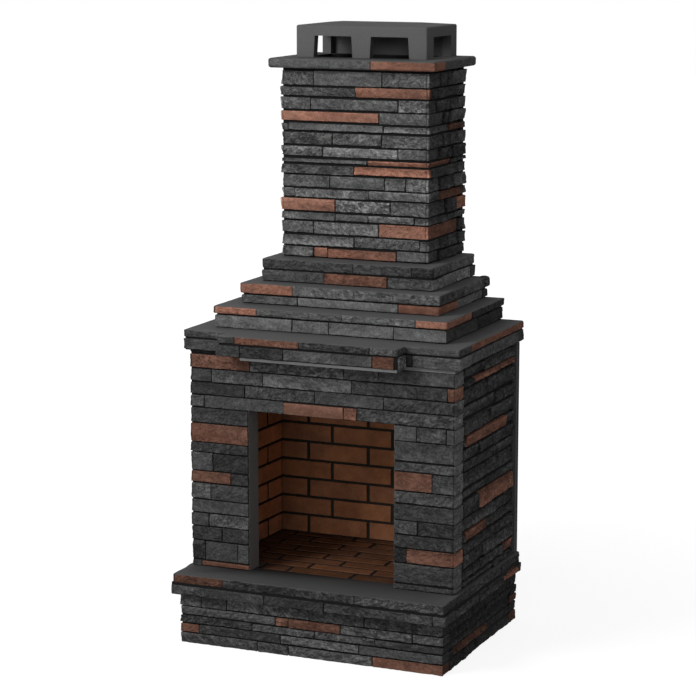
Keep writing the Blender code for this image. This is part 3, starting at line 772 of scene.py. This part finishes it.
def add_lip(surface, corners, rows, bottom, top, hole, tone=1.0, rough=lip_rough, strength=1.0,
            rounding=lip_round, cast_finish="cast_stone"):
    """A slab with a cast top and a split-stone edge, round a hole. The hole has one
    list of points for each side of the slab, from the front one round."""
    stations = outline_stations(corners, rows, surface.rng)
    profile = lip_profile(top - bottom, rounding)
    places, outward, looks, notch = (np.array(column) for column in zip(*stations))
    looks = looks * (tone, 1.0, 1.0, 1.0)
    looks[:, 3] = np.minimum(looks[:, 3] + rough, 1.0)
    count = len(stations)
    points, point_looks = [], []
    for inward, level, weight, cast in profile:
        ring = np.column_stack((places - outward * inward, np.full(count, bottom + level)))
        relief = split_relief(ring + looks[:, 2:3] * seed_shift, looks[:, 3])
        height = (relief * strength + lip_proud - notch * notch_depth) * weight
        ring[:, :2] += outward * height[:, None]
        ragged = smooth_noise(ring / ragged_size) * ragged_height * (1 + rough_ragged * looks[:, 3])
        ring[:, 2] += ragged * weight * strength * (1 if cast else split_ragged)
        points.append(ring)
        point_looks.append(np.column_stack((looks, height / ledge_height, np.zeros(count))))

    faces, finishes = [], []
    for row, (upper, lower) in enumerate(zip(profile, profile[1:])):
        here, under = row * count, (row + 1) * count
        for index in range(count):
            after = (index + 1) % count
            faces.append((here + index, under + index, under + after, here + after))
        finishes += [cast_finish if upper[3] and lower[3] else "split_stone"] * count

    # The top and the underside, as four faces each, and the hole's walls
    base = len(profile) * count
    hole_points = [point for side in hole for point in side[:-1]]
    many = len(hole_points)
    for level in (top, bottom):
        points.append(np.array([(*point, level) for point in hole_points]))
        point_looks.append(np.tile(plain_look, (many, 1)))
    marks = [int(np.argmin(np.abs(places - corner).sum(axis=1))) for corner in outer_corners(corners)]
    starts = np.cumsum([0] + [len(side) - 1 for side in hole])
    for side in range(4):
        first, last = marks[side], marks[(side + 1) % 4]
        outer = [index % count for index in range(first, last + 1 + (0 if last > first else count))]
        inner = [base + (starts[side] + step) % many for step in range(len(hole[side]))]
        faces.append([*outer, *reversed(inner)])
        outer_under = [base - count + index for index in reversed(outer)]
        faces.append([*outer_under, *[many + index for index in inner]])
        finishes += [cast_finish, "mortar"]
    for index in range(base, base + many):
        after = base + (index - base + 1) % many
        faces.append((index, after, many + after, many + index))
        finishes.append("mortar")
    surface.add(np.concatenate(points), faces, finishes, np.concatenate(point_looks))


# Blocks

def make_base():
    """Four panels under the hearth."""
    rng = random.Random(12)
    rear_courses = free_courses(rng, base_courses, 4)
    left_courses = free_courses(rng, base_courses, 2)
    layout = (
        ("front", FRONT, base_courses, (True, True)), ("rear", REAR, rear_courses, (True, True)),
        ("left", LEFT, left_courses, (False, False)), ("right", RIGHT, base_right_courses, (False, False)),
    )
    for name, side, courses, turned in layout:
        surface = Surface(rng)
        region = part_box("base_%s_panel" % name)
        core = drawn_in(region, side, front_relief)
        if name == "front":
            core = drawn_in(core, RIGHT, mortar_overlap)
        add_box(surface, *core, "mortar")
        add_wall(surface, region, side, courses, turned, dark_laying if name == "right" else base_laying)
        surface.piece("base_%s_stonework" % name, "base_%s_panel" % name)


def make_hearth():
    """The hearth slab: a cast top with a rough lip, over one course of stone."""
    rng = random.Random(21)
    surface = Surface(rng)
    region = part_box("hearth_slab")
    floor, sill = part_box("firebox_floor"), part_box("firebox_threshold")
    bottom, top = region[0].z, region[1].z
    core = inset(region, 0.0, front_relief, front_relief, front_relief)
    add_box(surface, *part_of(core, bottom, floor[0].z - pocket_gap), "mortar")
    course = part_of(region, bottom, top - hearth_lip - hearth_gap)
    add_course(surface, course, "hearth_slab", hearth_laying, rough_laying)
    rows = [slab_rows["hearth_slab"], free_row(rng, 3, grey_tones), free_row(rng, 3), free_row(rng, 2)]
    left, right, front, rear = plan_of(inset(floor, *[-pocket_gap] * 4))
    sill_left, sill_right, sill_front, sill_rear = plan_of(inset(sill, *[-pocket_gap] * 4))
    hole = square_hole((left, right, front, rear))
    hole[0] = [(left, front), (sill_left, front), (sill_left, sill_front), (sill_right, sill_front),
               (sill_right, front), (right, front)]
    corners = plan_corners(plan_of(inset(region, hearth_lip_inset, hearth_lip_inset, hearth_lip_inset)))
    # Its cast top is painted darker, as the shade that the body behind it casts
    add_lip(surface, corners, rows, top - hearth_lip, top, hole, hearth_lip_tone, hearth_lip_rough,
            cast_finish="hearth_stone")
    surface.piece("hearth_stonework", "hearth_slab")


def add_band(surface, region, bottom, top):
    """A straight pale strip over the facade's front and round its right-hand corner."""
    low, high = region
    left = low.x + (high.x - low.x) * band_share
    far = (high.x + band_out, low.y + return_short, top)
    add_box(surface, (left, low.y - band_out, bottom), far, "band_edge")


def make_facade():
    """The jambs and the lintel, with plain reveals."""
    layout = (
        ("left_jamb", left_jamb_courses, (True, False)), ("right_jamb", right_jamb_courses, (False, True)),
        ("lintel", lintel_courses, (True, True)),
    )
    for seed, (name, courses, turned) in enumerate(layout, 31):
        surface = Surface(random.Random(seed))
        low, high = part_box("facade_" + name)
        core = inset((low, high), bed_proud * turned[0], mortar_overlap * turned[1], front_relief)
        add_box(surface, *core, "reveal")
        bed = inset(core, -end_cover if turned[0] else bed_inset, -bed_proud if turned[1] else bed_inset,
                    -bed_proud)
        bed[1].y = core[0].y + front_relief
        add_box(surface, *bed, "mortar")
        if name == "lintel":
            add_band(surface, (low, high), high.z - band_drop, high.z - pocket_gap)
            high.z -= band_drop
        add_wall(surface, (low, high), FRONT, courses, turned, facade_layings[name])
        surface.piece("facade_%s_stonework" % name, "facade_" + name)


def make_body():
    """Side and rear panels behind the facade. The rear one's plain ends show at the sides."""
    rng = random.Random(43)
    layout = (
        ("right", RIGHT, right_panel_courses), ("left", LEFT, free_courses(rng, right_panel_courses, 2)),
        ("rear", REAR, free_courses(rng, right_panel_courses, 4)),
    )
    for name, side, courses in layout:
        surface = Surface(rng)
        region = low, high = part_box("body_%s_panel" % name)
        add_box(surface, *drawn_in(region, side, side_relief), "plain_edge" if name == "rear" else "mortar")
        if name == "rear":
            near, middle = low.y + light_start, low.y + light_end
            left_strip = (low.x - edge_reach, low.x + edge_strip)
            right_strip = (high.x - edge_strip, high.x + edge_reach)
            for first, last in (left_strip, right_strip):
                add_box(surface, (first, near, low.z), (last, middle, high.z), "plain_edge")
                add_box(surface, (first, middle, low.z), (last, high.y, high.z), "dark_edge")
            region = inset(region, edge_strip, edge_strip)
        else:
            region = inset(region, front=side_gap, rear=side_gap)
        add_wall(surface, region, side, courses, (False, False), rough_laying)
        surface.piece("body_%s_stonework" % name, "body_%s_panel" % name)


def add_bricks(surface, size, bricks, place):
    """A brick panel of a length, a height and a thickness. It is laid in X and Y with
    its face up at zero, and then put in place by a matrix."""
    length, height, thickness = size
    rng = surface.rng
    panel = Surface(rng)
    add_box(panel, (0.0, 0.0, -thickness), (length, height, -bricks.relief), bricks.bed)
    upright, bed = bricks.joints
    pitch = height / bricks.rows
    for row in range(bricks.rows):
        joint = brick_length * bricks.bonds[row % 2]
        edges = [0.0]
        while joint < length - upright * 2:
            edges.append(joint)
            joint += brick_length
        edges.append(length)
        for start, end in zip(edges, edges[1:]):
            near = (start + upright / 2, row * pitch + bed / 2, -thickness / 2)
            far = (end - upright / 2, (row + 1) * pitch - bed / 2, -rng.uniform(0.0, brick_sink))
            look = (rng.uniform(*brick_tones) * bricks.tone, 0.0, rng.random(), 0.0)
            points, faces, looks = stone(near, far, [TOP], [BOTTOM], look, brick_relief)
            panel.add(points, faces, "firebrick", looks)
    points = np.concatenate(panel.points) @ np.array(place.to_3x3()).T + np.array(place.translation)
    faces = [face[::-1] for face in panel.faces] if place.is_negative else panel.faces
    surface.add(points, faces, panel.finishes, np.concatenate(panel.looks))


def panel_matrix(origin, along, up, out):
    """Maps a panel's length, height and face direction onto the frame's directions."""
    return Matrix((*zip(along, up, out, origin), (0.0, 0.0, 0.0, 1.0)))


def make_lining():
    """Brick walls, floor and the floor's front row."""
    x_axis, y_axis, z_axis = (1.0, 0.0, 0.0), (0.0, 1.0, 0.0), (0.0, 0.0, 1.0)
    rng = random.Random(61)
    panels = []
    low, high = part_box("firebox_back_wall")
    length, thickness, height = high - low
    place = panel_matrix(low, x_axis, z_axis, (0.0, -1.0, 0.0))
    panels.append(("back", "back_wall", (length, height, thickness), back_bricks, place))
    for name, sign in (("left", -1.0), ("right", 1.0)):
        low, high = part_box("firebox_%s_wall" % name)
        width, length, height = high - low
        slope = (width - side_wall_thickness) / length
        near = (low.x if sign > 0 else high.x, high.y, low.z)
        place = panel_matrix(near, (sign * slope, -1.0, 0.0), z_axis, (-sign, 0.0, 0.0))
        panels.append((name, name + "_wall", (length, height, side_wall_thickness), side_bricks, place))
    for name, bricks in (("floor", floor_bricks), ("threshold", threshold_bricks)):
        low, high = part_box("firebox_" + name)
        place = panel_matrix((low.x, low.y, high.z), x_axis, y_axis, z_axis)
        panels.append((name, name, high - low, bricks, place))
    for name, node, size, bricks, place in panels:
        surface = Surface(rng)
        add_bricks(surface, size, bricks, place)
        surface.piece("firebox_%s_brickwork" % name, "firebox_" + node)


def hole_under(node):
    """The plan of the hole that leaves a seat for a block."""
    left, right, front, rear = plan_of(inset(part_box(node), hood_seat, hood_seat, hood_seat))
    return left, right, front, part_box("mantel_slab")[1].y - hood_rear_wall


def mantel_outline():
    """Left and right end of the mantel shelf, and the slab's front beside it, from the
    solid's mesh."""
    points = [vertex.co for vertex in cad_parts["mantel_slab"].data.vertices]
    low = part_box("mantel_slab")[0]
    shelf = [point.x for point in points if point.y < low.y + slab_joint]
    return min(shelf), max(shelf), min(point.y for point in points if point.x < low.x + slab_joint)


def make_mantel():
    """The mantel slab with its shelf, over a thin rough band."""
    rng = random.Random(51)
    surface = Surface(rng)
    low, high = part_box("mantel_slab")
    left, right, front = mantel_outline()
    hole = hole_under("hood_lower_block")
    band_top, lip_bottom = low.z + mantel_band, high.z - mantel_lip
    course_top = lip_bottom - under_gap

    # The thin band, which follows the facade, and the shelf's pale one
    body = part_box("facade_lintel")
    band = (Vector((body[0].x, body[0].y, low.z)), Vector((body[1].x, high.y, band_top)))
    add_tube(surface, plan_of(inset(band, *[front_relief] * 4)), hole, low.z, band_top + mortar_overlap)
    add_course(surface, band, "mantel_band", tight_laying, rough_laying)
    add_band(surface, band, low.z + pocket_gap, band_top)
    add_box(surface, (left + shelf_band_start, low.y + shelf_band_inset, low.z - band_drop / 2),
            (right - shelf_band_inset, front + front_relief, band_top), "band_stone")

    # The course under the slab, and the one under its shelf
    slab = (Vector((low.x, front, low.z)), high)
    core = inset(slab, core_inset, core_inset, front_relief, front_relief)
    add_tube(surface, plan_of(core), hole, band_top, lip_bottom + mortar_overlap)
    shelf = (Vector((left, low.y, band_top)), Vector((right, front + front_relief, lip_bottom)))
    shelf_core = inset(shelf, front_relief, front_relief, front_relief, -stone_depth)
    add_box(surface, *part_of(shelf_core, band_top, lip_bottom + mortar_overlap), "mortar")
    course = part_of(slab, band_top, course_top)
    add_course(surface, course, "mantel_slab", mantel_laying, mantel_side_laying)
    heights = (band_top, course_top)
    returns = (front - low.y + front_relief, None)
    add_row(surface, shelf, FRONT, (left, right - shelf_end), shelf_row, heights, returns)
    add_row(surface, shelf, RIGHT, (low.y + shelf_end, front), ((), "w"), heights)

    corners = [(low.x, front), (left, front), (left, low.y), (right, low.y), (right, front), (high.x, front),
               (high.x, high.y), (low.x, high.y)]
    rows = [free_row(rng, 1), ((), "d"), slab_rows["mantel_shelf"], ((), "l"), ((), "g"),
            slab_side_rows["mantel_slab"], free_row(rng, 4), free_row(rng, 3)]
    add_lip(surface, corners, rows, lip_bottom, high.z, square_hole(hole), mantel_lip_tone)
    surface.piece("mantel_stonework", "mantel_slab")


def make_hood():
    """Three stepped blocks over the mantel."""
    above = (*list(hood_blocks)[1:], "chimney_lower_block")
    for seed, (node, next_node) in enumerate(zip(hood_blocks, above), 71):
        rng = random.Random(seed)
        surface = Surface(rng)
        lip, course_tone, end_tone, side_tone, lip_tone = hood_blocks[node]
        region = low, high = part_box(node)
        lip_bottom = high.z - lip
        hole = hole_under(next_node)
        step = 0.0 if node == "hood_upper_block" else hood_course_inset
        under = inset(part_of(region, low.z, lip_bottom - under_gap), step, step, step)
        core = inset(under, core_inset, core_inset, front_relief, front_relief)
        add_tube(surface, plan_of(core), hole, low.z, lip_bottom + mortar_overlap)
        laying = fine_laying._replace(tone=course_tone, end_tone=end_tone)
        add_course(surface, under, node, laying, fine_laying._replace(tone=side_tone))
        rows = [slab_rows[node], slab_side_rows[node], free_row(rng, 3), free_row(rng, 2)]
        corners = plan_corners(plan_of(region))
        add_lip(surface, corners, rows, lip_bottom, high.z, square_hole(hole), lip_tone)
        if node == "hood_middle_block":
            near = (high.x - stone_depth, high.y - knob_size[1], high.z - knob_size[2])
            far = (high.x + knob_size[0], high.y, high.z + knob_rise)
            look = look_of("f", rng, tone=side_tone * knob_share)
            points, faces, looks = stone(near, far, [RIGHT, TOP], [], look, radius=knob_round)
            surface.add(points, faces, "split_stone", looks)
        surface.piece(node.replace("block", "stonework"), node)


def make_chimney():
    """Two flue blocks faced on four sides."""
    layout = (
        ("chimney_lower_block", chimney_lower_courses, chimney_lower_sides),
        ("chimney_upper_block", chimney_upper_courses, chimney_upper_sides),
    )
    for seed, (node, courses, sides) in enumerate(layout, 81):
        surface = Surface(random.Random(seed))
        region = low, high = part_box(node)
        core = inset(region, flue_inset, flue_inset, front_relief, mortar_overlap)
        add_tube(surface, plan_of(core), plan_of(inset(region, *[flue_wall] * 4)), low.z, high.z)
        front, rear = core[0].y + pocket_gap, core[1].y - pocket_gap
        add_box(surface, (low.x - flue_cover, front, low.z), (low.x + stone_depth, rear, high.z), "mortar")
        near = (high.x - stone_depth, core[1].y - stone_depth, low.z)
        add_box(surface, near, (high.x + end_cover, rear, high.z), "mortar")
        is_upper = node == "chimney_upper_block"
        faced = part_of(region, low.z, high.z - (crown_gap if is_upper else 0.0))
        add_ring(surface, faced, courses, sides, tall_laying, side_flue_laying)
        if is_upper:
            row, (bottom, top) = list(laid_courses(region, courses))[-1]
            near = (high.x - stone_depth, high.y - proud_length, bottom + fine_laying.bed)
            far = (high.x + proud_step, high.y + fine_laying.most, top - fine_laying.bed)
            add_stone(surface, near, far, [RIGHT, REAR], [], "k", side_flue_laying)
        surface.piece(node.replace("block", "stonework"), node)


def make_crown():
    """The thin slab on the chimney, on a bed of mortar."""
    rng = random.Random(91)
    surface = Surface(rng)
    region = low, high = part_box("chimney_crown")
    hole = plan_of(inset(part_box("chimney_cap"), crown_seat, crown_seat, crown_seat, crown_rear_seat))
    rows = [slab_rows["chimney_crown"], slab_side_rows["chimney_crown"], free_row(rng, 2), ((), "g")]
    add_lip(surface, plan_corners(plan_of(region)), rows, low.z + crown_gap, high.z, square_hole(hole),
            crown_tone, 0.0, crown_strength, crown_round)
    add_tube(surface, plan_of(inset(region, *[flue_wall] * 4)), hole, low.z, low.z + crown_gap * 2)
    surface.piece("crown_castwork", "chimney_crown")


def make_cap():
    """The cap in its own shape, with a thicker lid and crisper edges."""
    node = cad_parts["chimney_cap"]
    mesh = node.data.copy()
    points = np.array([node.matrix_world @ vertex.co for vertex in mesh.vertices])

    # Edges are found by their distance to the box. The foot has none, so that end of
    # the box is moved out of reach, and the lid's lies below its dome
    low, high = points.min(axis=0), points.max(axis=0)
    low[2] -= cap_round * 2
    high[2] -= cap_rise
    near = np.stack((points - low, high - points), axis=2)
    rounded = np.abs(near) <= cap_round + cap_tolerance
    on_round = rounded.sum(axis=(1, 2)) > 1
    for axis, end in itertools.product(range(3), (0, 1)):
        distance = near[:, axis, end]
        close = on_round & rounded[:, axis, end] & (distance > 0)
        points[close, axis] += (1 if end else -1) * distance[close] * (1 - crisp_round / cap_round)
    points[:, 2] += np.where(points[:, 2] > high[2] - lid_depth, lid_growth, 0.0)
    mesh.vertices.foreach_set("co", points.ravel())
    mesh.materials.clear()
    mesh.materials.append(materials["cap_concrete"])
    stand_in("cap_castwork", mesh, "chimney_cap")


# Materials

def add_node(tree, kind, values=None, **settings):
    """Adds a shader node; values are its inputs, given as numbers or as wires to link."""
    made = tree.nodes.new("ShaderNode" + kind)
    for key, value in settings.items():
        setattr(made, key, value)
    for key, value in (values or {}).items():
        if isinstance(value, Wire):
            tree.links.new(value.socket, made.inputs[key])
        else:
            made.inputs[key].default_value = value
    return made


class Wire:
    """An output of a new shader node. Arithmetic with it adds the nodes that do it."""

    def __init__(self, tree, kind, values=None, output=0, **settings):
        self.tree = tree
        self.socket = add_node(tree, kind, values, **settings).outputs[output]

    def calculate(self, operation, first, second=0.0):
        return Wire(self.tree, "Math", {0: first, 1: second}, operation=operation)

    def __add__(self, other):
        return self.calculate("ADD", self, other)

    def __sub__(self, other):
        return self.calculate("SUBTRACT", self, other)

    def __rsub__(self, other):
        return self.calculate("SUBTRACT", other, self)

    def __mul__(self, other):
        return self.calculate("MULTIPLY", self, other)

    def __rpow__(self, other):
        return self.calculate("POWER", other, self)

    def __abs__(self):
        return self.calculate("ABSOLUTE", self)

    def at_least(self, other):
        return self.calculate("MAXIMUM", self, other)

    def spread(self, old, new):
        """Maps a range of the value onto another, and holds it at the ends."""
        values = {"Value": self, "From Min": old[0], "From Max": old[1], "To Min": new[0], "To Max": new[1]}
        return Wire(self.tree, "MapRange", values, "Result")


def noise(tree, place, scale, detail, roughness, distortion=0.0):
    values = {"Vector": place, "Scale": scale, "Detail": detail, "Roughness": roughness,
              "Distortion": distortion}
    return Wire(tree, "TexNoise", values, "Fac")


def object_place(tree):
    return Wire(tree, "TexCoord", output="Object")


def stone_look(tree, name):
    """One of the numbers that every stone carries at its points."""
    return Wire(tree, "Attribute", output="Fac", attribute_name=name)


def seeded_place(tree):
    """Coordinates that start elsewhere on every stone."""
    seed = stone_look(tree, "seed")
    shift = Wire(tree, "CombineXYZ", {axis: seed * step for axis, step in zip("XYZ", seed_steps)})
    return Wire(tree, "VectorMath", {0: object_place(tree), 1: shift}, operation="ADD")


def squeezed(tree, place, amount):
    """Coordinates that make a pattern lie flat, as along a stone's bed."""
    return Wire(tree, "Mapping", {"Vector": place, "Scale": (1.0, 1.0, amount)})


def between(tree, share, first, second):
    """A mix of two colours, each given as a wire or as red, green and blue."""
    first, second = (colour if isinstance(colour, Wire) else (*colour, 1.0) for colour in (first, second))
    return Wire(tree, "Mix", {0: share, 6: first, 7: second}, 2, data_type="RGBA")


def new_material(name, roughness, specular):
    """A material with its Principled shader, whose plain numbers are set on the shader."""
    made = bpy.data.materials.new(name)
    made.use_nodes = True
    shader = made.node_tree.nodes["Principled BSDF"]
    shader.inputs["Roughness"].default_value = roughness
    shader.inputs["Specular IOR Level"].default_value = specular
    return made, made.node_tree, shader


def set_colour(tree, shader, colour, bright):
    """Gives a shader a colour times a brightness."""
    scaled = Wire(tree, "VectorMath", {0: colour, "Scale": bright}, operation="SCALE")
    tree.links.new(scaled.socket, shader.inputs["Base Color"])


def set_bump(tree, shader, strength, distance, height):
    bump = Wire(tree, "Bump", {"Strength": strength, "Distance": distance, "Height": height}, "Normal")
    tree.links.new(bump.socket, shader.inputs["Normal"])


# Two shades each of grey stone, red stone and firebrick, and the plain finishes'
# colours with how much they are clouded
grey_shades = (0.0557, 0.0563, 0.0565), (0.0570, 0.0565, 0.0561)
rust_shades = (0.180, 0.084, 0.058), (0.195, 0.098, 0.070)
brick_shades = (0.330, 0.135, 0.062), (0.290, 0.125, 0.066)
cast_colours = {
    "cast_stone": ((0.087, 0.087, 0.087), 0.10),
    # The hearth's cast top is painted darker than the other slabs' tops, as the shade from the body behind
    # it
    "hearth_stone": ((0.066, 0.066, 0.066), 0.06),
    "reveal": ((0.175, 0.168, 0.165), 0.05),
    "plain_edge": ((0.095, 0.096, 0.096), 0.12),
    "band_stone": ((0.135, 0.136, 0.137), 0.25),
    "band_edge": ((0.190, 0.191, 0.192), 0.25),
    "dark_edge": ((0.030, 0.030, 0.030), 0.12),
    "cap_concrete": ((0.098, 0.098, 0.098), 0.05),
}
bed_colours = {"mortar": (0.010, 0.010, 0.010), "soot": (0.026, 0.023, 0.018)}
flat_finishes = ("mortar", "soot", "reveal", "plain_edge", "dark_edge", "band_stone", "band_edge")

# Ranges: a whole one, and those of a noise's values that a pattern is made from
unit, noise_middle, noise_core, sharp_core = (0.0, 1.0), (0.3, 0.7), (0.34, 0.66), (0.4, 0.6)

# Split stone: how far a seed shifts its pattern, and how much the hatching slants; how
# strong marks are from smooth to rough and from grey to red stone, and how far each kind
# of mark goes, as powers of the contrast; brightness over the clouds; the painted shade in
# the relief's hollows and the painted highlight on its proud parts; the painted highlight on
# cut corners, and the painted shade in grooves and beside cuts; how wide creases are, on how
# rough a stone they start, and how dark their painted shade is; and shares of the grain and
# the creases in the bump
seed_steps, slant_range = (7.0, 13.0, 19.0), (-0.8, 0.8)
rough_marks, red_marks, mark_contrast = (0.38, 2.3), (1.0, 0.55), 2.2
hatch_marks, patch_marks, grain_marks = (-0.32, 0.38), (-0.17, 0.18), (-0.31, 0.34)
cloud_light, relief_range, painted_relief_shading = (0.84, 1.18), (-2.5, 2.5), (0.66, 1.34)
painted_corner_highlight, painted_shade_range, painted_corner_shade = (1.0, 2.1), (-0.9, 0.0), (0.30, 1.0)
crease_width, crease_rough, crease_painted_shade = 0.014, (0.1, 1.0), (0.06, 0.70)
grain_bump, crease_bump = 0.12, 0.5

# Cast concrete: where pores are, how wide, and how dark their painted shade is; and brightness
# over the grain of concrete, over the clouds and the grain of firebrick, and over the grain of mortar
pore_places, pore_width, painted_pore_shade = (0.50, 0.56), (0.10, 0.22), (0.75, 1.0)
cast_grain, brick_clouds, brick_grain, bed_grain = (0.92, 1.08), (0.72, 1.22), (0.80, 1.20), (0.7, 1.3)


def split_stone():
    """Cleft grey and red stone: clouded, hatched by the cleft, creased where it is rough, with painted shade
    in its hollows, creases and grooves and painted highlights on proud parts and cut corners.
    """
    made, tree, shader = new_material("split_stone", 0.90, 0.08)
    rough, red, edge = (stone_look(tree, name) for name in ("rough", "red", "edge"))
    place = seeded_place(tree)
    bed = squeezed(tree, place, 1.6)
    slant = stone_look(tree, "seed").spread(unit, slant_range)
    turned = Wire(tree, "VectorRotate", {"Vector": place, "Angle": slant}, rotation_type="Y_AXIS")
    cloud = noise(tree, bed, 13.0, 2.0, 0.5)
    patch = noise(tree, bed, 40.0, 2.0, 0.5, 0.3)
    hatch = noise(tree, squeezed(tree, turned, 2.0), 46.0, 3.0, 0.6, 0.5)
    grain = noise(tree, place, 170.0, 2.0, 0.65)
    fold = noise(tree, bed, 24.0, 5.0, 0.62, 1.0)

    # Light and dark marks, which are calm on red stone
    strength = rough.spread(unit, rough_marks)
    calm = red.spread(unit, red_marks)
    uneven = hatch.spread(noise_core, hatch_marks) * strength
    uneven += patch.spread(noise_core, patch_marks)
    uneven += grain.spread(noise_core, grain_marks)
    bright = cloud.spread(noise_middle, cloud_light) * mark_contrast ** (uneven * calm)

    # Painted shade in hollows and painted highlight on proud parts, a painted highlight on cut corners,
    # painted shade in grooves and beside cuts, and painted shade in creases
    bright *= stone_look(tree, "relief").spread(relief_range, painted_relief_shading)
    bright *= edge.spread(unit, painted_corner_highlight)
    bright *= edge.spread(painted_shade_range, painted_corner_shade)
    crease = 1.0 - abs(fold - 0.5).spread((0.0, crease_width), unit)
    crease_shade = crease * rough.spread(crease_rough, crease_painted_shade)
    bright *= 1.0 - crease_shade
    bright *= stone_look(tree, "tone")

    warm = noise(tree, bed, 5.0, 2.0, 0.5).spread(sharp_core, unit)
    hue = between(tree, red, between(tree, warm, *grey_shades), between(tree, warm, *rust_shades))
    set_colour(tree, shader, hue, bright)
    height = (hatch * strength + grain * grain_bump) * calm - crease_shade * crease_bump
    set_bump(tree, shader, 1.0, 0.007, height)
    return made


def cast_concrete(name, colour, contrast):
    """Smooth cast concrete with faint clouds, trowel marks and rare pores, which are painted darker as the
    shade in them.
    """
    made, tree, shader = new_material(name, 0.85, 0.15)
    place = object_place(tree)
    grain = noise(tree, place, 240.0, 3.0, 0.6)
    pores = Wire(tree, "TexVoronoi", {"Vector": place, "Scale": 150.0}, "Distance")
    no_pores = noise(tree, place, 60.0, 2.0, 0.5).spread(pore_places, (1.0, 0.0))
    pore = pores.spread(pore_width, painted_pore_shade).at_least(no_pores)
    bright = noise(tree, place, 5.0, 4.0, 0.6).spread(noise_middle, (1.0 - contrast, 1.0 + contrast))
    bright *= grain.spread(noise_middle, cast_grain)
    set_colour(tree, shader, colour, bright * pore)
    set_bump(tree, shader, 0.4, 0.0012, grain * 0.3 + pore * 0.5)
    return made


def firebrick():
    """Pressed firebrick, sooty brown with a fine sandy grain."""
    made, tree, shader = new_material("firebrick", 0.92, 0.10)
    place = seeded_place(tree)
    grain = noise(tree, place, 220.0, 4.0, 0.65)
    bright = noise(tree, place, 14.0, 4.0, 0.6).spread(noise_middle, brick_clouds)
    bright *= grain.spread(noise_middle, brick_grain)
    warm = noise(tree, place, 6.0, 2.0, 0.5).spread(sharp_core, unit)
    set_colour(tree, shader, between(tree, warm, *brick_shades), bright * stone_look(tree, "tone"))
    set_bump(tree, shader, 0.6, 0.0015, grain)
    return made


def dark_bed(name, colour):
    """Mortar in the depth of the joints."""
    made, tree, shader = new_material(name, 0.95, 0.10)
    grain = noise(tree, object_place(tree), 120.0, 3.0, 0.6)
    set_colour(tree, shader, colour, grain.spread(noise_middle, bed_grain))
    return made


materials = {"split_stone": split_stone(), "firebrick": firebrick()}
for finish, (colour, contrast) in cast_colours.items():
    materials[finish] = cast_concrete(finish, colour, contrast)
for finish, colour in bed_colours.items():
    materials[finish] = dark_bed(finish, colour)


# Studio

# The floor's half width and grey, and where and how much it fades; each lamp's name,
# place, power and size, and what they are aimed at; the sky's strength; and the photo's
# camera, whose focal length is given in pixels of the picture
floor_half, floor_grey = 30.0, 0.22
glow_reach, glow_range = (1.0, 3.5), (0.88, 1.0)
lamps = (
    ("key", (-1.7, -3.0, 3.1), 112.0, 1.6),
    ("fill", (0.2, -4.5, 1.1), 32.0, 2.4),
)
lamp_target = Vector((0.0, 0.0, 1.1))
ambient = 0.34
camera_place, camera_pitch, camera_yaw = (3.292, -7.6425, 2.564), 10.34, 23.36
sensor_width, focal_pixels, photo_pixels = 36.0, 2371.0, 696.0
white = (1.0, 1.0, 1.0, 1.0)


def sees_background(tree):
    """One for the rays that show the background itself, also in gloss and through glass."""
    camera, glossy, through = (Wire(tree, "LightPath", output="Is %s Ray" % kind)
                               for kind in ("Camera", "Glossy", "Transmission"))
    return camera.at_least(glossy).at_least(through)


def make_floor():
    """A pale floor that fades into the white background away from the fireplace."""
    mesh = bpy.data.meshes.new("studio_floor")
    corners = plan_corners((-floor_half, floor_half, -floor_half, floor_half))
    mesh.from_pydata([(*corner, 0.0) for corner in corners], [], [(0, 1, 2, 3)])
    made = bpy.data.materials.new("studio_floor")
    made.use_nodes = True
    tree = made.node_tree
    tree.nodes.clear()
    distance = Wire(tree, "VectorMath", {0: object_place(tree)}, "Value", operation="LENGTH")
    strength = sees_background(tree) * distance.spread(glow_reach, glow_range)
    emission = Wire(tree, "Emission", {"Color": white, "Strength": strength})
    diffuse = Wire(tree, "BsdfDiffuse", {"Color": (floor_grey, floor_grey, floor_grey, 1.0)})
    add_node(tree, "OutputMaterial", {"Surface": Wire(tree, "AddShader", {0: emission, 1: diffuse})})
    mesh.materials.append(made)
    place_object("studio_floor", mesh)


def make_light():
    """A large soft lamp from the front left, a weak one from the front, and an even sky."""
    for name, place, power, size in lamps:
        lamp = bpy.data.lights.new(name, "AREA")
        lamp.shape = "DISK"
        lamp.size = size
        lamp.energy = power
        made = place_object(name, lamp)
        made.location = place
        made.rotation_euler = (lamp_target - Vector(place)).to_track_quat("-Z", "Y").to_euler()
    world = bpy.data.worlds.new("studio")
    bpy.context.scene.world = world
    world.use_nodes = True
    tree = world.node_tree
    tree.nodes.clear()
    strength = sees_background(tree).spread(unit, (ambient, 1.0))
    background = Wire(tree, "Background", {"Color": white, "Strength": strength})
    add_node(tree, "OutputWorld", {"Surface": background})


def make_camera():
    """The photograph's camera: its place, its tilt and its angle of view."""
    data = bpy.data.cameras.new("camera")
    data.sensor_width = sensor_width
    data.lens = sensor_width * focal_pixels / photo_pixels
    camera = place_object("camera", data)
    camera.location = camera_place
    camera.rotation_euler = Euler((math.radians(90.0 - camera_pitch), 0.0, math.radians(camera_yaw)))
    bpy.context.scene.camera = camera


make_base()
make_hearth()
make_facade()
make_body()
make_lining()
make_mantel()
make_hood()
make_chimney()
make_crown()
make_cap()
make_floor()
make_light()
make_camera()
bpy.context.scene.view_settings.view_transform = "Standard"
